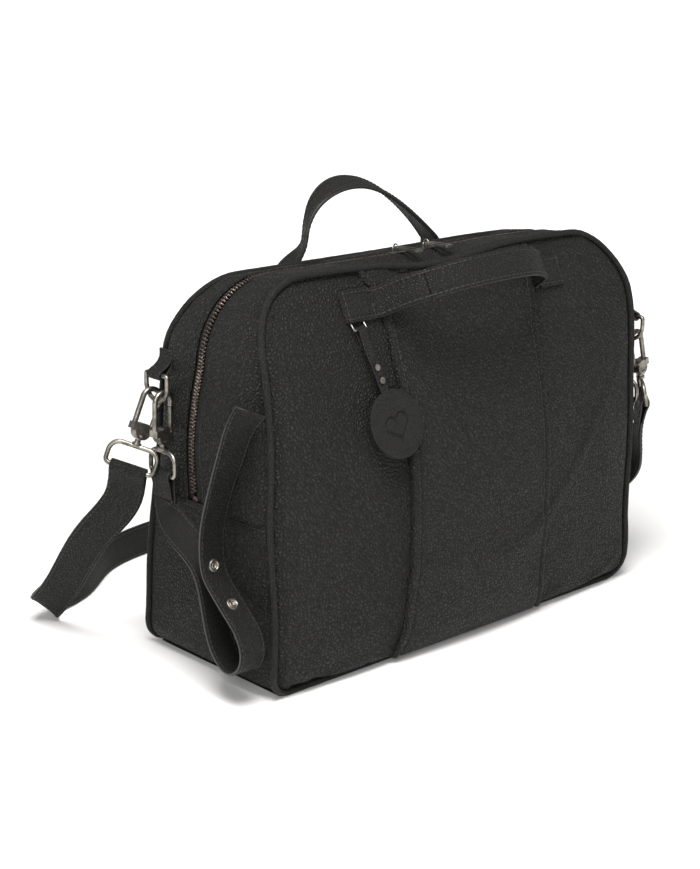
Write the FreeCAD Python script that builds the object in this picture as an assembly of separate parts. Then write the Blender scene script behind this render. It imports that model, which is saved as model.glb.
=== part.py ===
"""Diaper bag: a soft leather tote with a domed zip top, two strap handles, a hang tag,
a shoulder strap and two stroller straps clipped to a D-ring at each end.

Millimetres, +Z up, the bag's length along X and its front facing -Y.
The origin is the centre of the flat base. Each sub-part goes to parts/NODE.step.
"""
import FreeCAD, Part
import math
import os

V = FreeCAD.Vector

# ---- Driving dimensions -------------------------------------------------------------
BAG_LENGTH = 388.0           # over the piping, end to end
BAG_HEIGHT = 296.5           # base to the top of the front piping
BASE_DEPTH = 146.0           # over the base, front to back
TOP_DEPTH = 70.0             # front edge to back edge across the zip
PILLOW = 19.5                # how far the filled front panel swells at its middle
LEATHER = 2.4                # panel thickness, lined
PIPING_R = 2.5
CORNER_R = 52.5              # top corners of the panels
FOOT_R = 12.0                # bottom corners of the panels
BACK_DROP = 8.0              # how much lower the back edge of the top is
SEAM_Z = 130.0               # where the zip gusset joins the lower gusset
ZIP_END_Z = 138.0            # lower end of the zip on each end panel
TEETH_W = 6.4                # both rows of teeth together
TEETH_T = 2.4
TAPE_W = 13.0                # visible tape and teeth together
STRAP_W = 22.0               # handles and stroller straps
STRAP_T = 3.0
STROLLER_T = 2.2             # the stroller straps are thinner than the handles
SHOULDER_W = 28.0
WIRE_R = 1.7                 # rings and loops
GAP = 0.3                    # clearance between moving pieces
TOUCH = 0.08                 # clearance between sewn pieces
LEAD = 4.0                   # straight start of a strap that goes on from another piece

HALF = BAG_LENGTH / 2 - PIPING_R            # half length at the piping's centreline
TOP_Z = BAG_HEIGHT - PIPING_R               # front piping's centreline at the top
BACK_TOP_Z = TOP_Z - BACK_DROP
INSET = PIPING_R + GAP                      # from the piping's centreline to a panel's edge

# Depth of the front and back edges by height, as fractions of height and half base depth
FRONT_EDGE = [(0.0, 0.959), (0.03, 1.01), (0.09, 1.055), (0.2, 1.05), (0.4, 1.04), (0.6, 1.034),
              (0.76, 1.0), (0.845, 0.932), (0.9, 0.84), (0.95, 0.74), (1.0, 0.66)]
BACK_EDGE = [(0.0, 0.985), (0.03, 1.0), (0.2, 0.93), (0.35, 0.84), (0.48, 0.765), (0.61, 0.685),
             (0.74, 0.6), (0.85, 0.52), (0.93, 0.41), (1.0, 0.30)]
ZIP_LINE = [(0.0, 0.07), (0.48, 0.07), (0.61, 0.085), (0.71, 0.03), (0.81, -0.09), (0.9, -0.12),
            (1.0, -0.125)]


def blend(knots, t):
    """Smooth curve through (position, value) knots, flat beyond both ends."""
    if t <= knots[0][0]:
        return knots[0][1]
    if t >= knots[-1][0]:
        return knots[-1][1]
    k = max(i for i in range(len(knots) - 1) if knots[i][0] <= t)

    def slope(i):
        a = knots[max(i - 1, 0)]
        b = knots[min(i + 1, len(knots) - 1)]
        return (b[1] - a[1]) / (b[0] - a[0])
    (t0, v0), (t1, v1) = knots[k], knots[k + 1]
    h = t1 - t0
    s = (t - t0) / h
    return ((2 * s**3 - 3 * s**2 + 1) * v0 + (s**3 - 2 * s**2 + s) * h * slope(k)
            + (-2 * s**3 + 3 * s**2) * v1 + (s**3 - s**2) * h * slope(k + 1))


def front_edge_y(z):
    return -blend(FRONT_EDGE, z / TOP_Z) * BASE_DEPTH / 2


def back_edge_y(z):
    return blend(BACK_EDGE, z / BACK_TOP_Z) * BASE_DEPTH / 2


def front_y(x, z):
    """Outer face of the front panel."""
    rise = math.sin(math.pi * min(max(z / TOP_Z, 0), 0.8) / 0.8)
    across = max(0.0, 1 - (x / HALF) ** 2)
    return front_edge_y(z) - PILLOW * across * rise


def back_y(x, z):
    """Outer face of the back panel."""
    rise = math.sin(math.pi * min(max(z / BACK_TOP_Z, 0), 1))
    across = max(0.0, 1 - (x / HALF) ** 2)
    return back_edge_y(z) + PILLOW * 0.4 * across * rise


# ---- Building blocks ----------------------------------------------------------------
def spread(a, b, count):
    return [a + (b - a) * i / (count - 1) for i in range(count)]


def solid_of(faces):
    shell = Part.makeShell(faces)
    shell.sewShape()
    solid = Part.Solid(shell if shell.ShapeType == "Shell" else shell.Shells[0])
    if solid.Volume < 0:
        solid.reverse()
    if not solid.isClosed():
        raise ValueError("open skin")
    return solid


def skin(outer, inner):
    """Closed solid between two grids of points of the same size."""
    sheets = []
    for grid in (outer, inner):
        sheet = Part.BSplineSurface()
        sheet.interpolate(grid)
        sheets.append(sheet)
    faces = [sheet.toShape() for sheet in sheets]
    bounds = [sheet.bounds() for sheet in sheets]
    for k in (0, 1):
        sides = [sheet.uIso(b[k]).toShape() for sheet, b in zip(sheets, bounds)]
        faces.append(Part.makeRuledSurface(sides[0], sides[1], 1))
        sides = [sheet.vIso(b[2 + k]).toShape() for sheet, b in zip(sheets, bounds)]
        faces.append(Part.makeRuledSurface(sides[0], sides[1], 1))
    return solid_of(faces)


def save(name, *solids):
    shape = solids[0] if len(solids) == 1 else Part.makeCompound(list(solids))
    shape.exportStep("parts/%s.step" % name)


def box(x0, x1, y0, y1, z0, z1):
    return Part.makeBox(x1 - x0, y1 - y0, z1 - z0, V(x0, y0, z0))


def rounded_outline(half, z0, z1, r_foot, r_top):
    """Closed wire in the XZ plane at y = 0: rounded rectangle, symmetric about X = 0."""
    def arc(cx, cz, r, a0, a1):
        points = [V(cx + r * math.cos(a), 0, cz + r * math.sin(a)) for a in (a0, (a0 + a1) / 2, a1)]
        return Part.Arc(*points).toShape()
    right, up = 0.0, math.pi / 2
    edges = [
        Part.makeLine(V(half, 0, z0 + r_foot), V(half, 0, z1 - r_top)),
        arc(half - r_top, z1 - r_top, r_top, right, up),
        Part.makeLine(V(half - r_top, 0, z1), V(r_top - half, 0, z1)),
        arc(r_top - half, z1 - r_top, r_top, up, math.pi),
        Part.makeLine(V(-half, 0, z1 - r_top), V(-half, 0, z0 + r_foot)),
        arc(r_foot - half, z0 + r_foot, r_foot, math.pi, 3 * up),
        Part.makeLine(V(r_foot - half, 0, z0), V(half - r_foot, 0, z0)),
        arc(half - r_foot, z0 + r_foot, r_foot, 3 * up, 4 * up),
    ]
    return Part.Wire(edges)


def prism(wire):
    """Solid through the whole depth of the bag with this XZ outline."""
    face = Part.Face(wire)
    face.translate(V(0, -BASE_DEPTH * 2, 0))
    return face.extrude(V(0, BASE_DEPTH * 4, 0))


def sheet_slab(face_y, near, far, half, z0, z1, columns=13, rows=23):
    """Slab that follows y = face_y(x, z), from offset near to offset far along Y."""
    grids = []
    for offset in (near, far):
        grids.append([[V(x, face_y(x, z) + offset, z) for z in spread(z0, z1, rows)]
                      for x in spread(-half, half, columns)])
    return skin(*grids)


def bar(path, radius):
    """Round bar along a wire of lines and tangent arcs, open or closed."""
    pieces = []
    for edge in path.Edges:
        first, last = edge.FirstParameter, edge.LastParameter
        start = edge.valueAt(first)
        disc = Part.Face(Part.Wire(Part.makeCircle(radius, start, edge.tangentAt(first))))
        if isinstance(edge.Curve, Part.Line):
            pieces.append(disc.extrude(edge.valueAt(last) - start))
        else:
            pieces.append(disc.revolve(edge.Curve.Center, edge.Curve.Axis, math.degrees(last - first)))
    return pieces[0].fuse(pieces[1:]).removeSplitter()


def led(points, widths, ends):
    """Points and widths with one more point just inside each end, to set the direction there."""
    if not ends:
        return points, widths
    first = points[0] + ends[0].normalize() * LEAD
    last = points[-1] - ends[1].normalize() * LEAD
    return ([points[0], first] + points[1:-1] + [last, points[-1]],
            [widths[0]] + widths + [widths[-1]])


def ribbon_frames(points, widths, stations, ends=None):
    """Centre, width direction and face normal at stations along a flat strap."""
    points, widths = led(points, widths, ends)
    curve = Part.BSplineCurve()
    curve.interpolate(points)
    knots = [curve.parameter(p) for p in points]
    tracks = [[(k, w[axis]) for k, w in zip(knots, widths)] for axis in range(3)]
    frames = []
    for share in stations:
        t = curve.FirstParameter + (curve.LastParameter - curve.FirstParameter) * share
        along = curve.tangent(t)[0]
        side = V(*[blend(track, t) for track in tracks])
        side = (side - along * side.dot(along)).normalize()
        frames.append((curve.value(t), side, along.cross(side).normalize()))
    return frames


def ribbon(points, widths, width, thick, stations=30, ends=None):
    """Flat strap along a smooth curve; widths gives its width direction at each point."""
    top, bottom = [], []
    for centre, side, lift in ribbon_frames(points, widths, spread(0, 1, stations), ends):
        side, lift = side * (width / 2), lift * (thick / 2)
        top.append([centre - side + lift, centre + lift, centre + side + lift])
        bottom.append([centre - side - lift, centre - lift, centre + side - lift])
    return skin(top, bottom)


# ---- Panels -------------------------------------------------------------------------
def make_panels():
    panel = prism(rounded_outline(HALF - INSET, PIPING_R + INSET, TOP_Z - INSET,
                                  FOOT_R - INSET, CORNER_R - INSET))
    back = prism(rounded_outline(HALF - INSET, PIPING_R + INSET, BACK_TOP_Z - INSET,
                                 FOOT_R - INSET, CORNER_R - INSET))
    front = sheet_slab(front_y, 0, LEATHER, HALF, 0, TOP_Z)
    save("front_panel", front.common(panel))
    rear = sheet_slab(back_y, -LEATHER, 0, HALF, 0, BACK_TOP_Z)
    save("back_panel", rear.common(back))


def centre_outline():
    """Waisted outline of the panel over the middle of the front."""
    low, high = PIPING_R + INSET, TOP_Z - INSET
    height = high - low
    side = [(82, 0), (75.5, 0.12), (74, 0.4), (76, 0.72), (80.5, 0.9), (89, 1)]
    right = Part.BSplineCurve()
    right.interpolate([V(x, 0, low + height * t) for x, t in side])
    left = Part.BSplineCurve()
    left.interpolate([V(-x, 0, low + height * t) for x, t in reversed(side)])
    ends = [Part.makeLine(V(89, 0, high), V(-89, 0, high)),
            Part.makeLine(V(-82, 0, low), V(82, 0, low))]
    return Part.Wire([right.toShape(), ends[0], left.toShape(), ends[1]])


def make_centre_panel():
    slab = sheet_slab(front_y, -2.2, -TOUCH, HALF * 0.55, 0, TOP_Z)
    save("front_center_panel", slab.common(prism(centre_outline())))


# ---- Rim: piping, gussets and zip ---------------------------------------------------
def rim(turn, edge):
    """Point on the piping's centreline from the left seam over the top to the right seam.

    turn runs 0..5: left side, corner, top, corner, right side. edge is "front" or "back".
    """
    top = TOP_Z if edge == "front" else BACK_TOP_Z
    depth = front_edge_y if edge == "front" else back_edge_y
    step = min(int(turn), 4)
    t = turn - step
    bend = HALF - CORNER_R
    if step in (0, 4):
        up = t if step == 0 else 1 - t
        x, z = HALF, SEAM_Z + (top - CORNER_R - SEAM_Z) * up
    elif step == 2:
        x, z = bend * abs(2 * t - 1), top
    else:
        angle = math.pi / 2 * (t if step == 1 else 1 - t)
        x, z = bend + CORNER_R * math.cos(angle), top - CORNER_R + CORNER_R * math.sin(angle)
    sign = -1 if turn < 2.5 else 1
    return V(sign * x, depth(z), z)


def rim_outward(turn):
    step = min(int(turn), 4)
    t = turn - step
    angle = {0: math.pi, 1: math.pi - t * math.pi / 2, 2: math.pi / 2,
             3: math.pi / 2 - t * math.pi / 2, 4: 0.0}[step]
    return V(math.cos(angle), 0, math.sin(angle))


def rim_stations(seam_gap=0.0):
    sides = spread(seam_gap / (TOP_Z - CORNER_R - SEAM_Z), 1, 7)
    corner = spread(1, 2, 10)[1:]
    top = spread(2, 3, 13)[1:]
    right = [5 - t for t in reversed(sides)]
    return sides + corner + top + [5 - t for t in reversed(corner[:-1])] + right


def zip_share(turn):
    """How far across the gusset the zip lies, 0 at the front edge and 1 at the back."""
    front, back = rim(turn, "front"), rim(turn, "back")
    zip_y = blend(ZIP_LINE, front.z / TOP_Z) * BASE_DEPTH / 2
    return (zip_y - front.y) / (back.y - front.y)


def gusset_point(turn, across, out):
    """Point on the zip gusset; across is a pair: share from front to back, and millimetres more."""
    front, back = rim(turn, "front"), rim(turn, "back")
    run = back - front
    share = across[0] + across[1] / run.Length
    crown = 3.0 * math.sin(math.pi * min(max(share, 0), 1)) * (1 - abs(rim_outward(turn).z))
    return front + run * share + rim_outward(turn) * (out + crown)


def gusset_strip(near, far, out, inner, stations, columns=5):
    """Strip of the gusset between two across positions, each a function of the station."""
    grids = []
    for level in (out, inner):
        grid = []
        for turn in stations:
            a, b = near(turn), far(turn)
            row = []
            for t in spread(0, 1, columns):
                pair = (a[0] + (b[0] - a[0]) * t, a[1] + (b[1] - a[1]) * t)
                row.append(gusset_point(turn, pair, level))
            grid.append(row)
        grids.append(grid)
    return skin(*grids)


def make_zip_gusset():
    stations = rim_stations(0.5)
    half_tape = TAPE_W / 2
    front_edge = lambda turn: (0, INSET)
    back_edge = lambda turn: (1, -INSET)

    def beside(offset):
        return lambda turn: (zip_share(turn), offset)
    out, inner = 1.0, 1.0 - LEATHER
    save("zip_gusset_front", gusset_strip(front_edge, beside(-half_tape), out, inner, stations))
    save("zip_gusset_back", gusset_strip(beside(half_tape), back_edge, out, inner, stations))
    edge = TEETH_W / 2 + GAP
    save("zip_tape_front", gusset_strip(beside(TOUCH - half_tape), beside(-edge), -0.3, -1.1, stations, 3))
    save("zip_tape_back", gusset_strip(beside(edge), beside(half_tape - TOUCH), -0.3, -1.1, stations, 3))
    low = (ZIP_END_Z - SEAM_Z) / (TOP_Z - CORNER_R - SEAM_Z)
    zipped = [low] + [t for t in stations if low + 0.05 < t < 4.95 - low] + [5 - low]
    high, deep = -0.7 + TEETH_T / 2, -0.7 - TEETH_T / 2
    split = 0.45
    save("zip_teeth_front", gusset_strip(beside(-TEETH_W / 2), beside(-split), high, deep, zipped, 3))
    save("zip_teeth_back", gusset_strip(beside(split), beside(TEETH_W / 2), high, deep, zipped, 3))
    stops = []
    for turn in (low - 0.02, 5 - low + 0.02):
        centre = gusset_point(turn, (zip_share(turn), 0), -0.7)
        stops.append(box(centre.x - 1.6, centre.x + 1.6, centre.y - 2.7, centre.y + 2.7,
                         centre.z - 5, centre.z - 1))
    save("zip_stops", *stops)


def make_lower_gussets():
    for side, name in ((-1, "left_gusset"), (1, "right_gusset")):
        grids = []
        for level in (1.0, 1.0 - LEATHER):
            grid = []
            for z in spread(SEAM_Z - 0.5, PIPING_R + FOOT_R, 8) + [None] * 5:
                if z is None:
                    angle = math.pi / 2 * (len(grid) - 7) / 5
                else:
                    angle = 0.0
                x = HALF - FOOT_R + (FOOT_R + level) * math.cos(angle)
                height = z if z is not None else PIPING_R + FOOT_R - (FOOT_R + level) * math.sin(angle)
                y0, y1 = front_edge_y(height) + INSET, back_edge_y(height) - INSET
                crown = 3.0 * math.cos(angle) * min(1.0, height / 60)
                grid.append([V(side * (x + crown * math.sin(math.pi * t)), y0 + (y1 - y0) * t, height)
                             for t in spread(0, 1, 7)])
            grids.append(grid)
        save(name, skin(*grids))


def piping_path(edge, side):
    """Curve along one half of a panel's edge, from the middle of the base to the middle of the top."""
    depth = front_edge_y if edge == "front" else back_edge_y
    lift = -0.9 if edge == "front" else 0.9
    top = TOP_Z if edge == "front" else BACK_TOP_Z
    bend, corner = HALF - FOOT_R, HALF - CORNER_R
    flat = [(x, PIPING_R) for x in spread(0, bend, 6)]
    quarter = [math.pi / 2 * t for t in spread(0, 1, 7)]
    foot = [(bend + FOOT_R * math.sin(a), PIPING_R + FOOT_R * (1 - math.cos(a))) for a in quarter[1:]]
    upright = [(HALF, z) for z in spread(PIPING_R + FOOT_R, top - CORNER_R, 9)[1:]]
    arc = [(corner + CORNER_R * math.cos(a), top - CORNER_R + CORNER_R * math.sin(a)) for a in quarter[1:]]
    ridge = [(x, top) for x in spread(corner, 0, 6)[1:]]
    curve = Part.BSplineCurve()
    curve.interpolate([V(side * x, depth(z) + lift, z) for x, z in flat + foot + upright + arc + ridge])
    return curve


def make_piping():
    for edge in ("front", "back"):
        halves = []
        for side in (-1, 1):
            curve = piping_path(edge, side)
            first = curve.FirstParameter
            ring = Part.Wire(Part.makeCircle(PIPING_R, curve.value(first), curve.tangent(first)[0]))
            halves.append(Part.Wire(curve.toShape()).makePipeShell([ring], True, False))
        save(edge + "_piping", *halves)


def make_base():
    half = HALF - FOOT_R - 0.5
    y0, y1 = front_edge_y(PIPING_R) + INSET + 1, back_edge_y(PIPING_R) - INSET - 1
    save("base_panel", box(-half, half, y0, y1, 0, 3))
    save("base_board", box(-half, half, y0 + 4, y1 - 4, 3 + TOUCH, 5.5))


def make_lining():
    near, far = LEATHER + 0.6, LEATHER + 1.4
    cut = prism(rounded_outline(HALF - 12, 9, BACK_TOP_Z - 14, FOOT_R, CORNER_R))
    walls = [sheet_slab(front_y, near, far, HALF, 0, TOP_Z).common(cut),
             sheet_slab(back_y, -far, -near, HALF, 0, BACK_TOP_Z).common(cut)]
    for side in (-1, 1):
        x = side * (HALF - 7)
        grids = [[[V(x + thick, y0 + (y1 - y0) * t, z) for t in spread(0, 1, 5)]
                  for z in spread(9, 225, 12)
                  for y0, y1 in [(front_edge_y(z) + 12, back_edge_y(z) - 12)]]
                 for thick in (0, 0.8)]
        walls.append(skin(*grids))
    save("lining", *walls)
    low, high = 14.0, 165.0
    pocket = prism(rounded_outline(150, low, high, 10, 6))
    save("front_inner_pocket", sheet_slab(front_y, far + 0.6, far + 1.6, 160, 0, 200).common(pocket))
    pocket = prism(rounded_outline(105, 40, 190, 10, 6))
    save("back_inner_pocket", sheet_slab(back_y, -far - 1.6, -far - 0.6, 120, 20, 210).common(pocket))


# ---- Handles ------------------------------------------------------------------------
HANDLE_X = 88.0              # where a handle leaves its sewn end
HANDLE_Z = 270.0
TAB_LENGTH = 26.0
FRONT_RISE = math.radians(27)        # the front handle's bow above the horizontal
TAG_X = -104.0
TAG_R = 25.0
TAG_RING_W = 12.0            # the tag's ring: a small rectangle of wire through the handle's sewn end
TAG_RING_H = 8.5
TAG_WIRE_R = 0.9
TAG_RING_TOP = V(TAG_X, front_y(TAG_X, 261.5) - 1.9, 261.5)
RING_LEAN = 42.0             # degrees that the ring and the tag lean out from the vertical
TAG_LEAN = 17.0
TAG_DROP = 47.0              # from the ring to the disc's upper edge
TAG_TILT = 13.0              # the tag hangs this far off the vertical, across the panel


def sewn_ends(face_y, sign, z, name):
    """Two strap ends sewn flat on a panel; the front left one has a hole for the tag's ring."""
    ends = []
    near, far = HANDLE_X, HANDLE_X + TAB_LENGTH
    levels = sorted((sign * GAP, sign * (STRAP_T + GAP)))
    slab = sheet_slab(face_y, levels[0], levels[1], HALF * 0.75, z - 30, z + 20, 15, 9)
    hole = tag_ring(TAG_WIRE_R + GAP)
    for side in (-1, 1):
        x = sorted((side * near, side * far))
        block = box(x[0], x[1], -BASE_DEPTH, BASE_DEPTH, z - STRAP_W / 2, z + STRAP_W / 2)
        ends.append(slab.common(block).cut(hole))
    save(name, *ends)


def front_bow(x, out):
    """Point of the front handle: x along the bag, out along its bow."""
    return V(x, front_y(HANDLE_X, HANDLE_Z) - STRAP_T - out * math.cos(FRONT_RISE),
             HANDLE_Z + out * math.sin(FRONT_RISE))


def make_front_handle():
    flat = V(0, 0.35, 0.94)
    wide = V(0, math.sin(FRONT_RISE), math.cos(FRONT_RISE))
    bow = [(-58, 31), (-34, 44), (0, 51), (36, 47), (62, 31)]
    arch = [front_bow(x, r) for x, r in bow]
    rise = front_bow(-34, 46) - front_bow(-58, 31)
    fall = front_bow(62, 31) - front_bow(36, 51)
    save("front_handle", ribbon(arch, [wide] * 5, STRAP_W, STRAP_T, ends=(rise, fall)))
    left = [front_bow(1.6 - HANDLE_X, 1.3), front_bow(-76, 9), front_bow(-58.4, 30.6)]
    right = [front_bow(62.4, 30.6), front_bow(77, 10), front_bow(HANDLE_X - 1.6, 1.3)]
    inward, outward = V(1, -0.1, 0), V(1, 0.1, 0)
    save("front_handle_ends",
         ribbon(left, [flat, wide, wide], STRAP_W, STRAP_T, 12, (inward, rise)),
         ribbon(right, [wide, wide, flat], STRAP_W, STRAP_T, 12, (fall, outward)))


def make_back_handle():
    z0 = HANDLE_Z - 8
    wide = V(0, 0.95, 0.3)
    y = back_y(0, BACK_TOP_Z - INSET) + PIPING_R + 12
    outline = [(-62, 302), (-55, 322), (-34, 338), (-8, 339.5), (25, 326), (53, 305), (68, 290)]
    turn = [V(0.55, 0.8, 0), V(0.45, 0.85, 0.1), V(0.2, 0.95, 0.25), wide, wide, V(0, 0.95, 0.2),
            V(0, 0.95, 0.1)]
    arch = [V(x, y, z) for x, z in outline]
    up, down = V(0.15, 0, 1), V(0.75, 0, -1)
    save("back_handle", ribbon(arch, turn, STRAP_W, STRAP_T, ends=(up, down)))
    sewn_y = back_y(HANDLE_X, z0) + STRAP_T + 0.6
    upright = V(0, -0.33, 0.94)
    left = [V(2.6 - HANDLE_X, sewn_y, z0), V(-77, sewn_y + 8, z0 + 11), V(-62.4, y, 300.6)]
    right = [V(69.0, y, 288.7), V(77, sewn_y + 8, z0 + 9), V(HANDLE_X - 2.6, sewn_y, z0)]
    save("back_handle_ends",
         ribbon(left, [upright, V(0.2, 0.55, 0.75), turn[0]], STRAP_W * 0.9, STRAP_T, 14, (V(1, 0.3, 0), up)),
         ribbon(right, [turn[-1], V(0.1, 0.6, 0.6), upright], STRAP_W * 0.9, STRAP_T, 14,
                (down, V(1, -0.3, 0))))


# ---- Zip sliders --------------------------------------------------------------------
SLIDER_X = {"left": -12.0, "right": 20.0}
SLIDER_LENGTH = 12.0
SLIDER_WIDTH = 9.6
PLATE = 1.3
BAIL_H = 3.8                 # slider's top to the middle of the bail's top bar
PULL_LENGTH = 27.0
PULL_WIDTH = 8.6


def slider_seat(side):
    """Placement of a slider: its origin is the middle of the teeth, tilted like the gusset."""
    centre = gusset_point(2.5, (zip_share(2.5), 0), -0.7)
    slope = math.degrees(math.atan2(BACK_DROP, TOP_DEPTH))
    return FreeCAD.Placement(V(SLIDER_X[side], centre.y, centre.z), FreeCAD.Rotation(V(1, 0, 0), -slope))


def bail_height():
    return TEETH_T / 2 + GAP + PLATE + BAIL_H


def make_sliders():
    room = TEETH_T / 2 + GAP
    half, wide = SLIDER_LENGTH / 2, SLIDER_WIDTH / 2
    for side in SLIDER_X:
        plates = []
        for low in (room, -room - PLATE):
            flat = box(-half, half, -wide, wide, low, low + PLATE)
            plates.append(flat.makeFillet(2.0, [e for e in flat.Edges if abs(e.tangentAt(0).z) > 0.9]))
        post = box(-1.5, 1.5, -0.15, 0.15, -room - PLATE, room + PLATE)
        crown, top, leg = room + PLATE, bail_height(), 2.6
        bend = leg - 1.0
        q = 1.0 - math.sqrt(0.5)
        bail = [Part.makeLine(V(-leg, 0, crown - 0.8), V(-leg, 0, top - 1)),
                Part.Arc(V(-leg, 0, top - 1), V(-leg + q, 0, top - q), V(-bend, 0, top)).toShape(),
                Part.makeLine(V(-bend, 0, top), V(bend, 0, top)),
                Part.Arc(V(bend, 0, top), V(leg - q, 0, top - q), V(leg, 0, top - 1)).toShape(),
                Part.makeLine(V(leg, 0, top - 1), V(leg, 0, crown - 0.8))]
        body = plates[0].fuse([plates[1], post, bar(Part.Wire(bail), 0.7)]).removeSplitter()
        body.Placement = slider_seat(side)
        save("zip_slider_" + side, body)
        pull = make_pull()
        pull.Placement = slider_seat(side).multiply(FreeCAD.Placement(V(0, 0, bail_height()),
                                                                     FreeCAD.Rotation(V(1, 0, 0), 5.5)))
        save("zip_pull_" + side, pull)


def make_pull():
    """Pull lying toward the front: a ring round the slider's bail and a flat blade with a slot."""
    half = PULL_WIDTH / 2
    ring = Part.makeTorus(2.4, 0.6, V(0, -0.8, 0), V(1, 0, 0))
    blade = box(-half, half, -PULL_LENGTH, -2.8, -0.8, 0.8)
    blade = blade.makeFillet(2.2, [e for e in blade.Edges if abs(e.tangentAt(0).z) > 0.9])
    slot = box(-1.8, 1.8, 3.2 - PULL_LENGTH, -9, -2, 2)
    slot = slot.makeFillet(1.7, [e for e in slot.Edges if abs(e.tangentAt(0).z) > 0.9])
    return blade.cut(slot).fuse(ring).removeSplitter()


# ---- D-rings, hooks and straps ------------------------------------------------------
RING_W = 25.0
RING_H = 19.5
RING_Z = 221.0
TAB_STRAP_W = 14.0                   # the leather tab round the D-ring's bar
RING_OUT = HALF + 14.0               # the D-ring's bar from the middle of the bag
RING_Y = {"left": 33.0, "right": -62.0}
LOOP_H = 17.0
LOOP_EXTRA = 8.5                     # a strap loop is this much wider than its strap
LOOP_DROP = 35.4                     # hook's eye centre to the loop's top bar
LOOP_ARCH = 8.0                      # upper corners of a strap loop
LOOP_BEND = 3.6                      # lower corners of a strap loop
EYE_TAIL = 16.0                      # stitched part of a strap's folded end
EYE_LEATHER = 1.8
HOOK_R = 7.4                         # the hook's bend, at the wire's centre
HOOK_WIRE_R = 2.0
SNAP_R = 4.6
SNAP_H = 2.0


def loop_path(width, height, round_foot):
    """Closed loop in the YZ plane, its top bar at z = 0, with a round foot or a straight one."""
    half, foot, slant = width / 2, -height, math.sqrt(0.5)
    if round_foot:
        r, top = min(half, height) - 0.5, 2.0
    else:
        r, top = LOOP_BEND, min(LOOP_ARCH, height - LOOP_BEND - 1)

    def arc(side, radius, level, way):
        """Quarter turn at one corner, its centre radius away from the side and from the level."""
        y, z = side * (half - radius), level - way * radius
        points = [V(0, y, level), V(0, y + side * radius * slant, z + way * radius * slant),
                  V(0, side * half, z)]
        return Part.Arc(*points[::side * way]).toShape()
    edges = [Part.makeLine(V(0, top - half, 0), V(0, half - top, 0)), arc(1, top, 0, 1),
             Part.makeLine(V(0, half, -top), V(0, half, foot + r)), arc(1, r, foot, -1)]
    if half - r > 0.01:
        edges.append(Part.makeLine(V(0, half - r, foot), V(0, r - half, foot)))
    edges += [arc(-1, r, foot, -1), Part.makeLine(V(0, -half, foot + r), V(0, -half, -top)),
              arc(-1, top, 0, 1)]
    return Part.Wire(edges)


def make_ring(side):
    sign = -1 if side == "left" else 1
    ring = bar(loop_path(RING_W, RING_H, True), WIRE_R)
    ring.translate(V(sign * RING_OUT, RING_Y[side], RING_Z))
    save(side + "_ring", ring)
    clear = WIRE_R + GAP
    half, wide = TAB_STRAP_W / 2, TAB_STRAP_W
    sewn = HALF + 4.2 + TOUCH
    patch = box(sewn - 1.2, sewn + 1.8, -half, half, RING_Z + 1, RING_Z + 15)
    corners = [(sewn - 1.2, 1), (sewn + 1.8, 13), (RING_OUT + 2.6, 2.8), (RING_OUT - 2.6, -2.8),
               (sewn - 1.2, 1)]
    reach = Part.makePolygon([V(x, -half, RING_Z + above) for x, above in corners])
    loop = Part.makeCylinder(clear + EYE_LEATHER, wide, V(RING_OUT, -half, RING_Z), V(0, 1, 0))
    tab = patch.fuse([Part.Face(reach).extrude(V(0, wide, 0)), loop])
    tab = tab.cut(Part.makeCylinder(clear, wide + 2, V(RING_OUT, -half - 1, RING_Z), V(0, 1, 0)))
    if sign < 0:
        tab = tab.mirror(V(0, 0, 0), V(1, 0, 0))
    tab.translate(V(0, RING_Y[side], 0))
    save(side + "_ring_tab", tab.removeSplitter())


def hook_parts(strap_width):
    """Trigger hook in its own frame: eye centre at the origin, hanging down, mouth toward +X."""
    r, wire = HOOK_R, HOOK_WIRE_R
    top = Part.Arc(V(-r, 0, 0), V(0, 0, r), V(r, 0, 0)).toShape()
    stem = Part.makeLine(V(-r, 0, -20), V(-r, 0, 0))
    nose = Part.makeLine(V(r, 0, 0), V(r, 0, -3.2))
    shank = bar(Part.Wire([stem, top, nose]), wire)
    block = Part.makeCylinder(6.2, 9, V(0, -4, -24), V(0, 1, 0))
    block = block.fuse(box(-r - wire, 6.2, -4, 4, -24, -19)).common(box(-9, 9, -4, 4, -32, -18))
    block = block.fuse(Part.makeCone(5, 3.4, 3, V(0, 0, -27), V(0, 0, -1)))
    gate_room = box(2.9, 9.9, -1.9, 1.9, -23.2, -17)
    body = shank.fuse(block).cut(gate_room)
    pivot = V(5.0, 0, -21.0)
    body = body.fuse(Part.makeCylinder(1.0, 9.4, V(pivot.x, -4.7, pivot.z), V(0, 1, 0)))
    gate_bar = Part.makeCylinder(1.55, 15.4, V(r - 0.25, 0, -19.4), V(0, 0, 1))
    knuckle = Part.makeCylinder(2.1 - 0.45, 3.2, V(pivot.x, -1.6, pivot.z), V(0, 1, 0))
    gate = gate_bar.fuse(knuckle).fuse(box(pivot.x - 0.4, r + 1.0, -1.4, 1.4, -21.4, -19.0))
    gate = gate.cut(Part.makeCylinder(1.0 + GAP / 2, 12, V(pivot.x, -6, pivot.z), V(0, 1, 0)))
    neck = Part.makeCylinder(2.2, 2.8, V(0, 0, -30.0 - GAP), V(0, 0, -1))
    collar = Part.makeCylinder(3.4, 2.0, V(0, 0, -32.6), V(0, 0, -1))
    loop = bar(loop_path(strap_width + LOOP_EXTRA, LOOP_H, False), WIRE_R)
    loop.translate(V(0, 0, -LOOP_DROP))
    return body, gate, neck.fuse(collar).fuse(loop)


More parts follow.
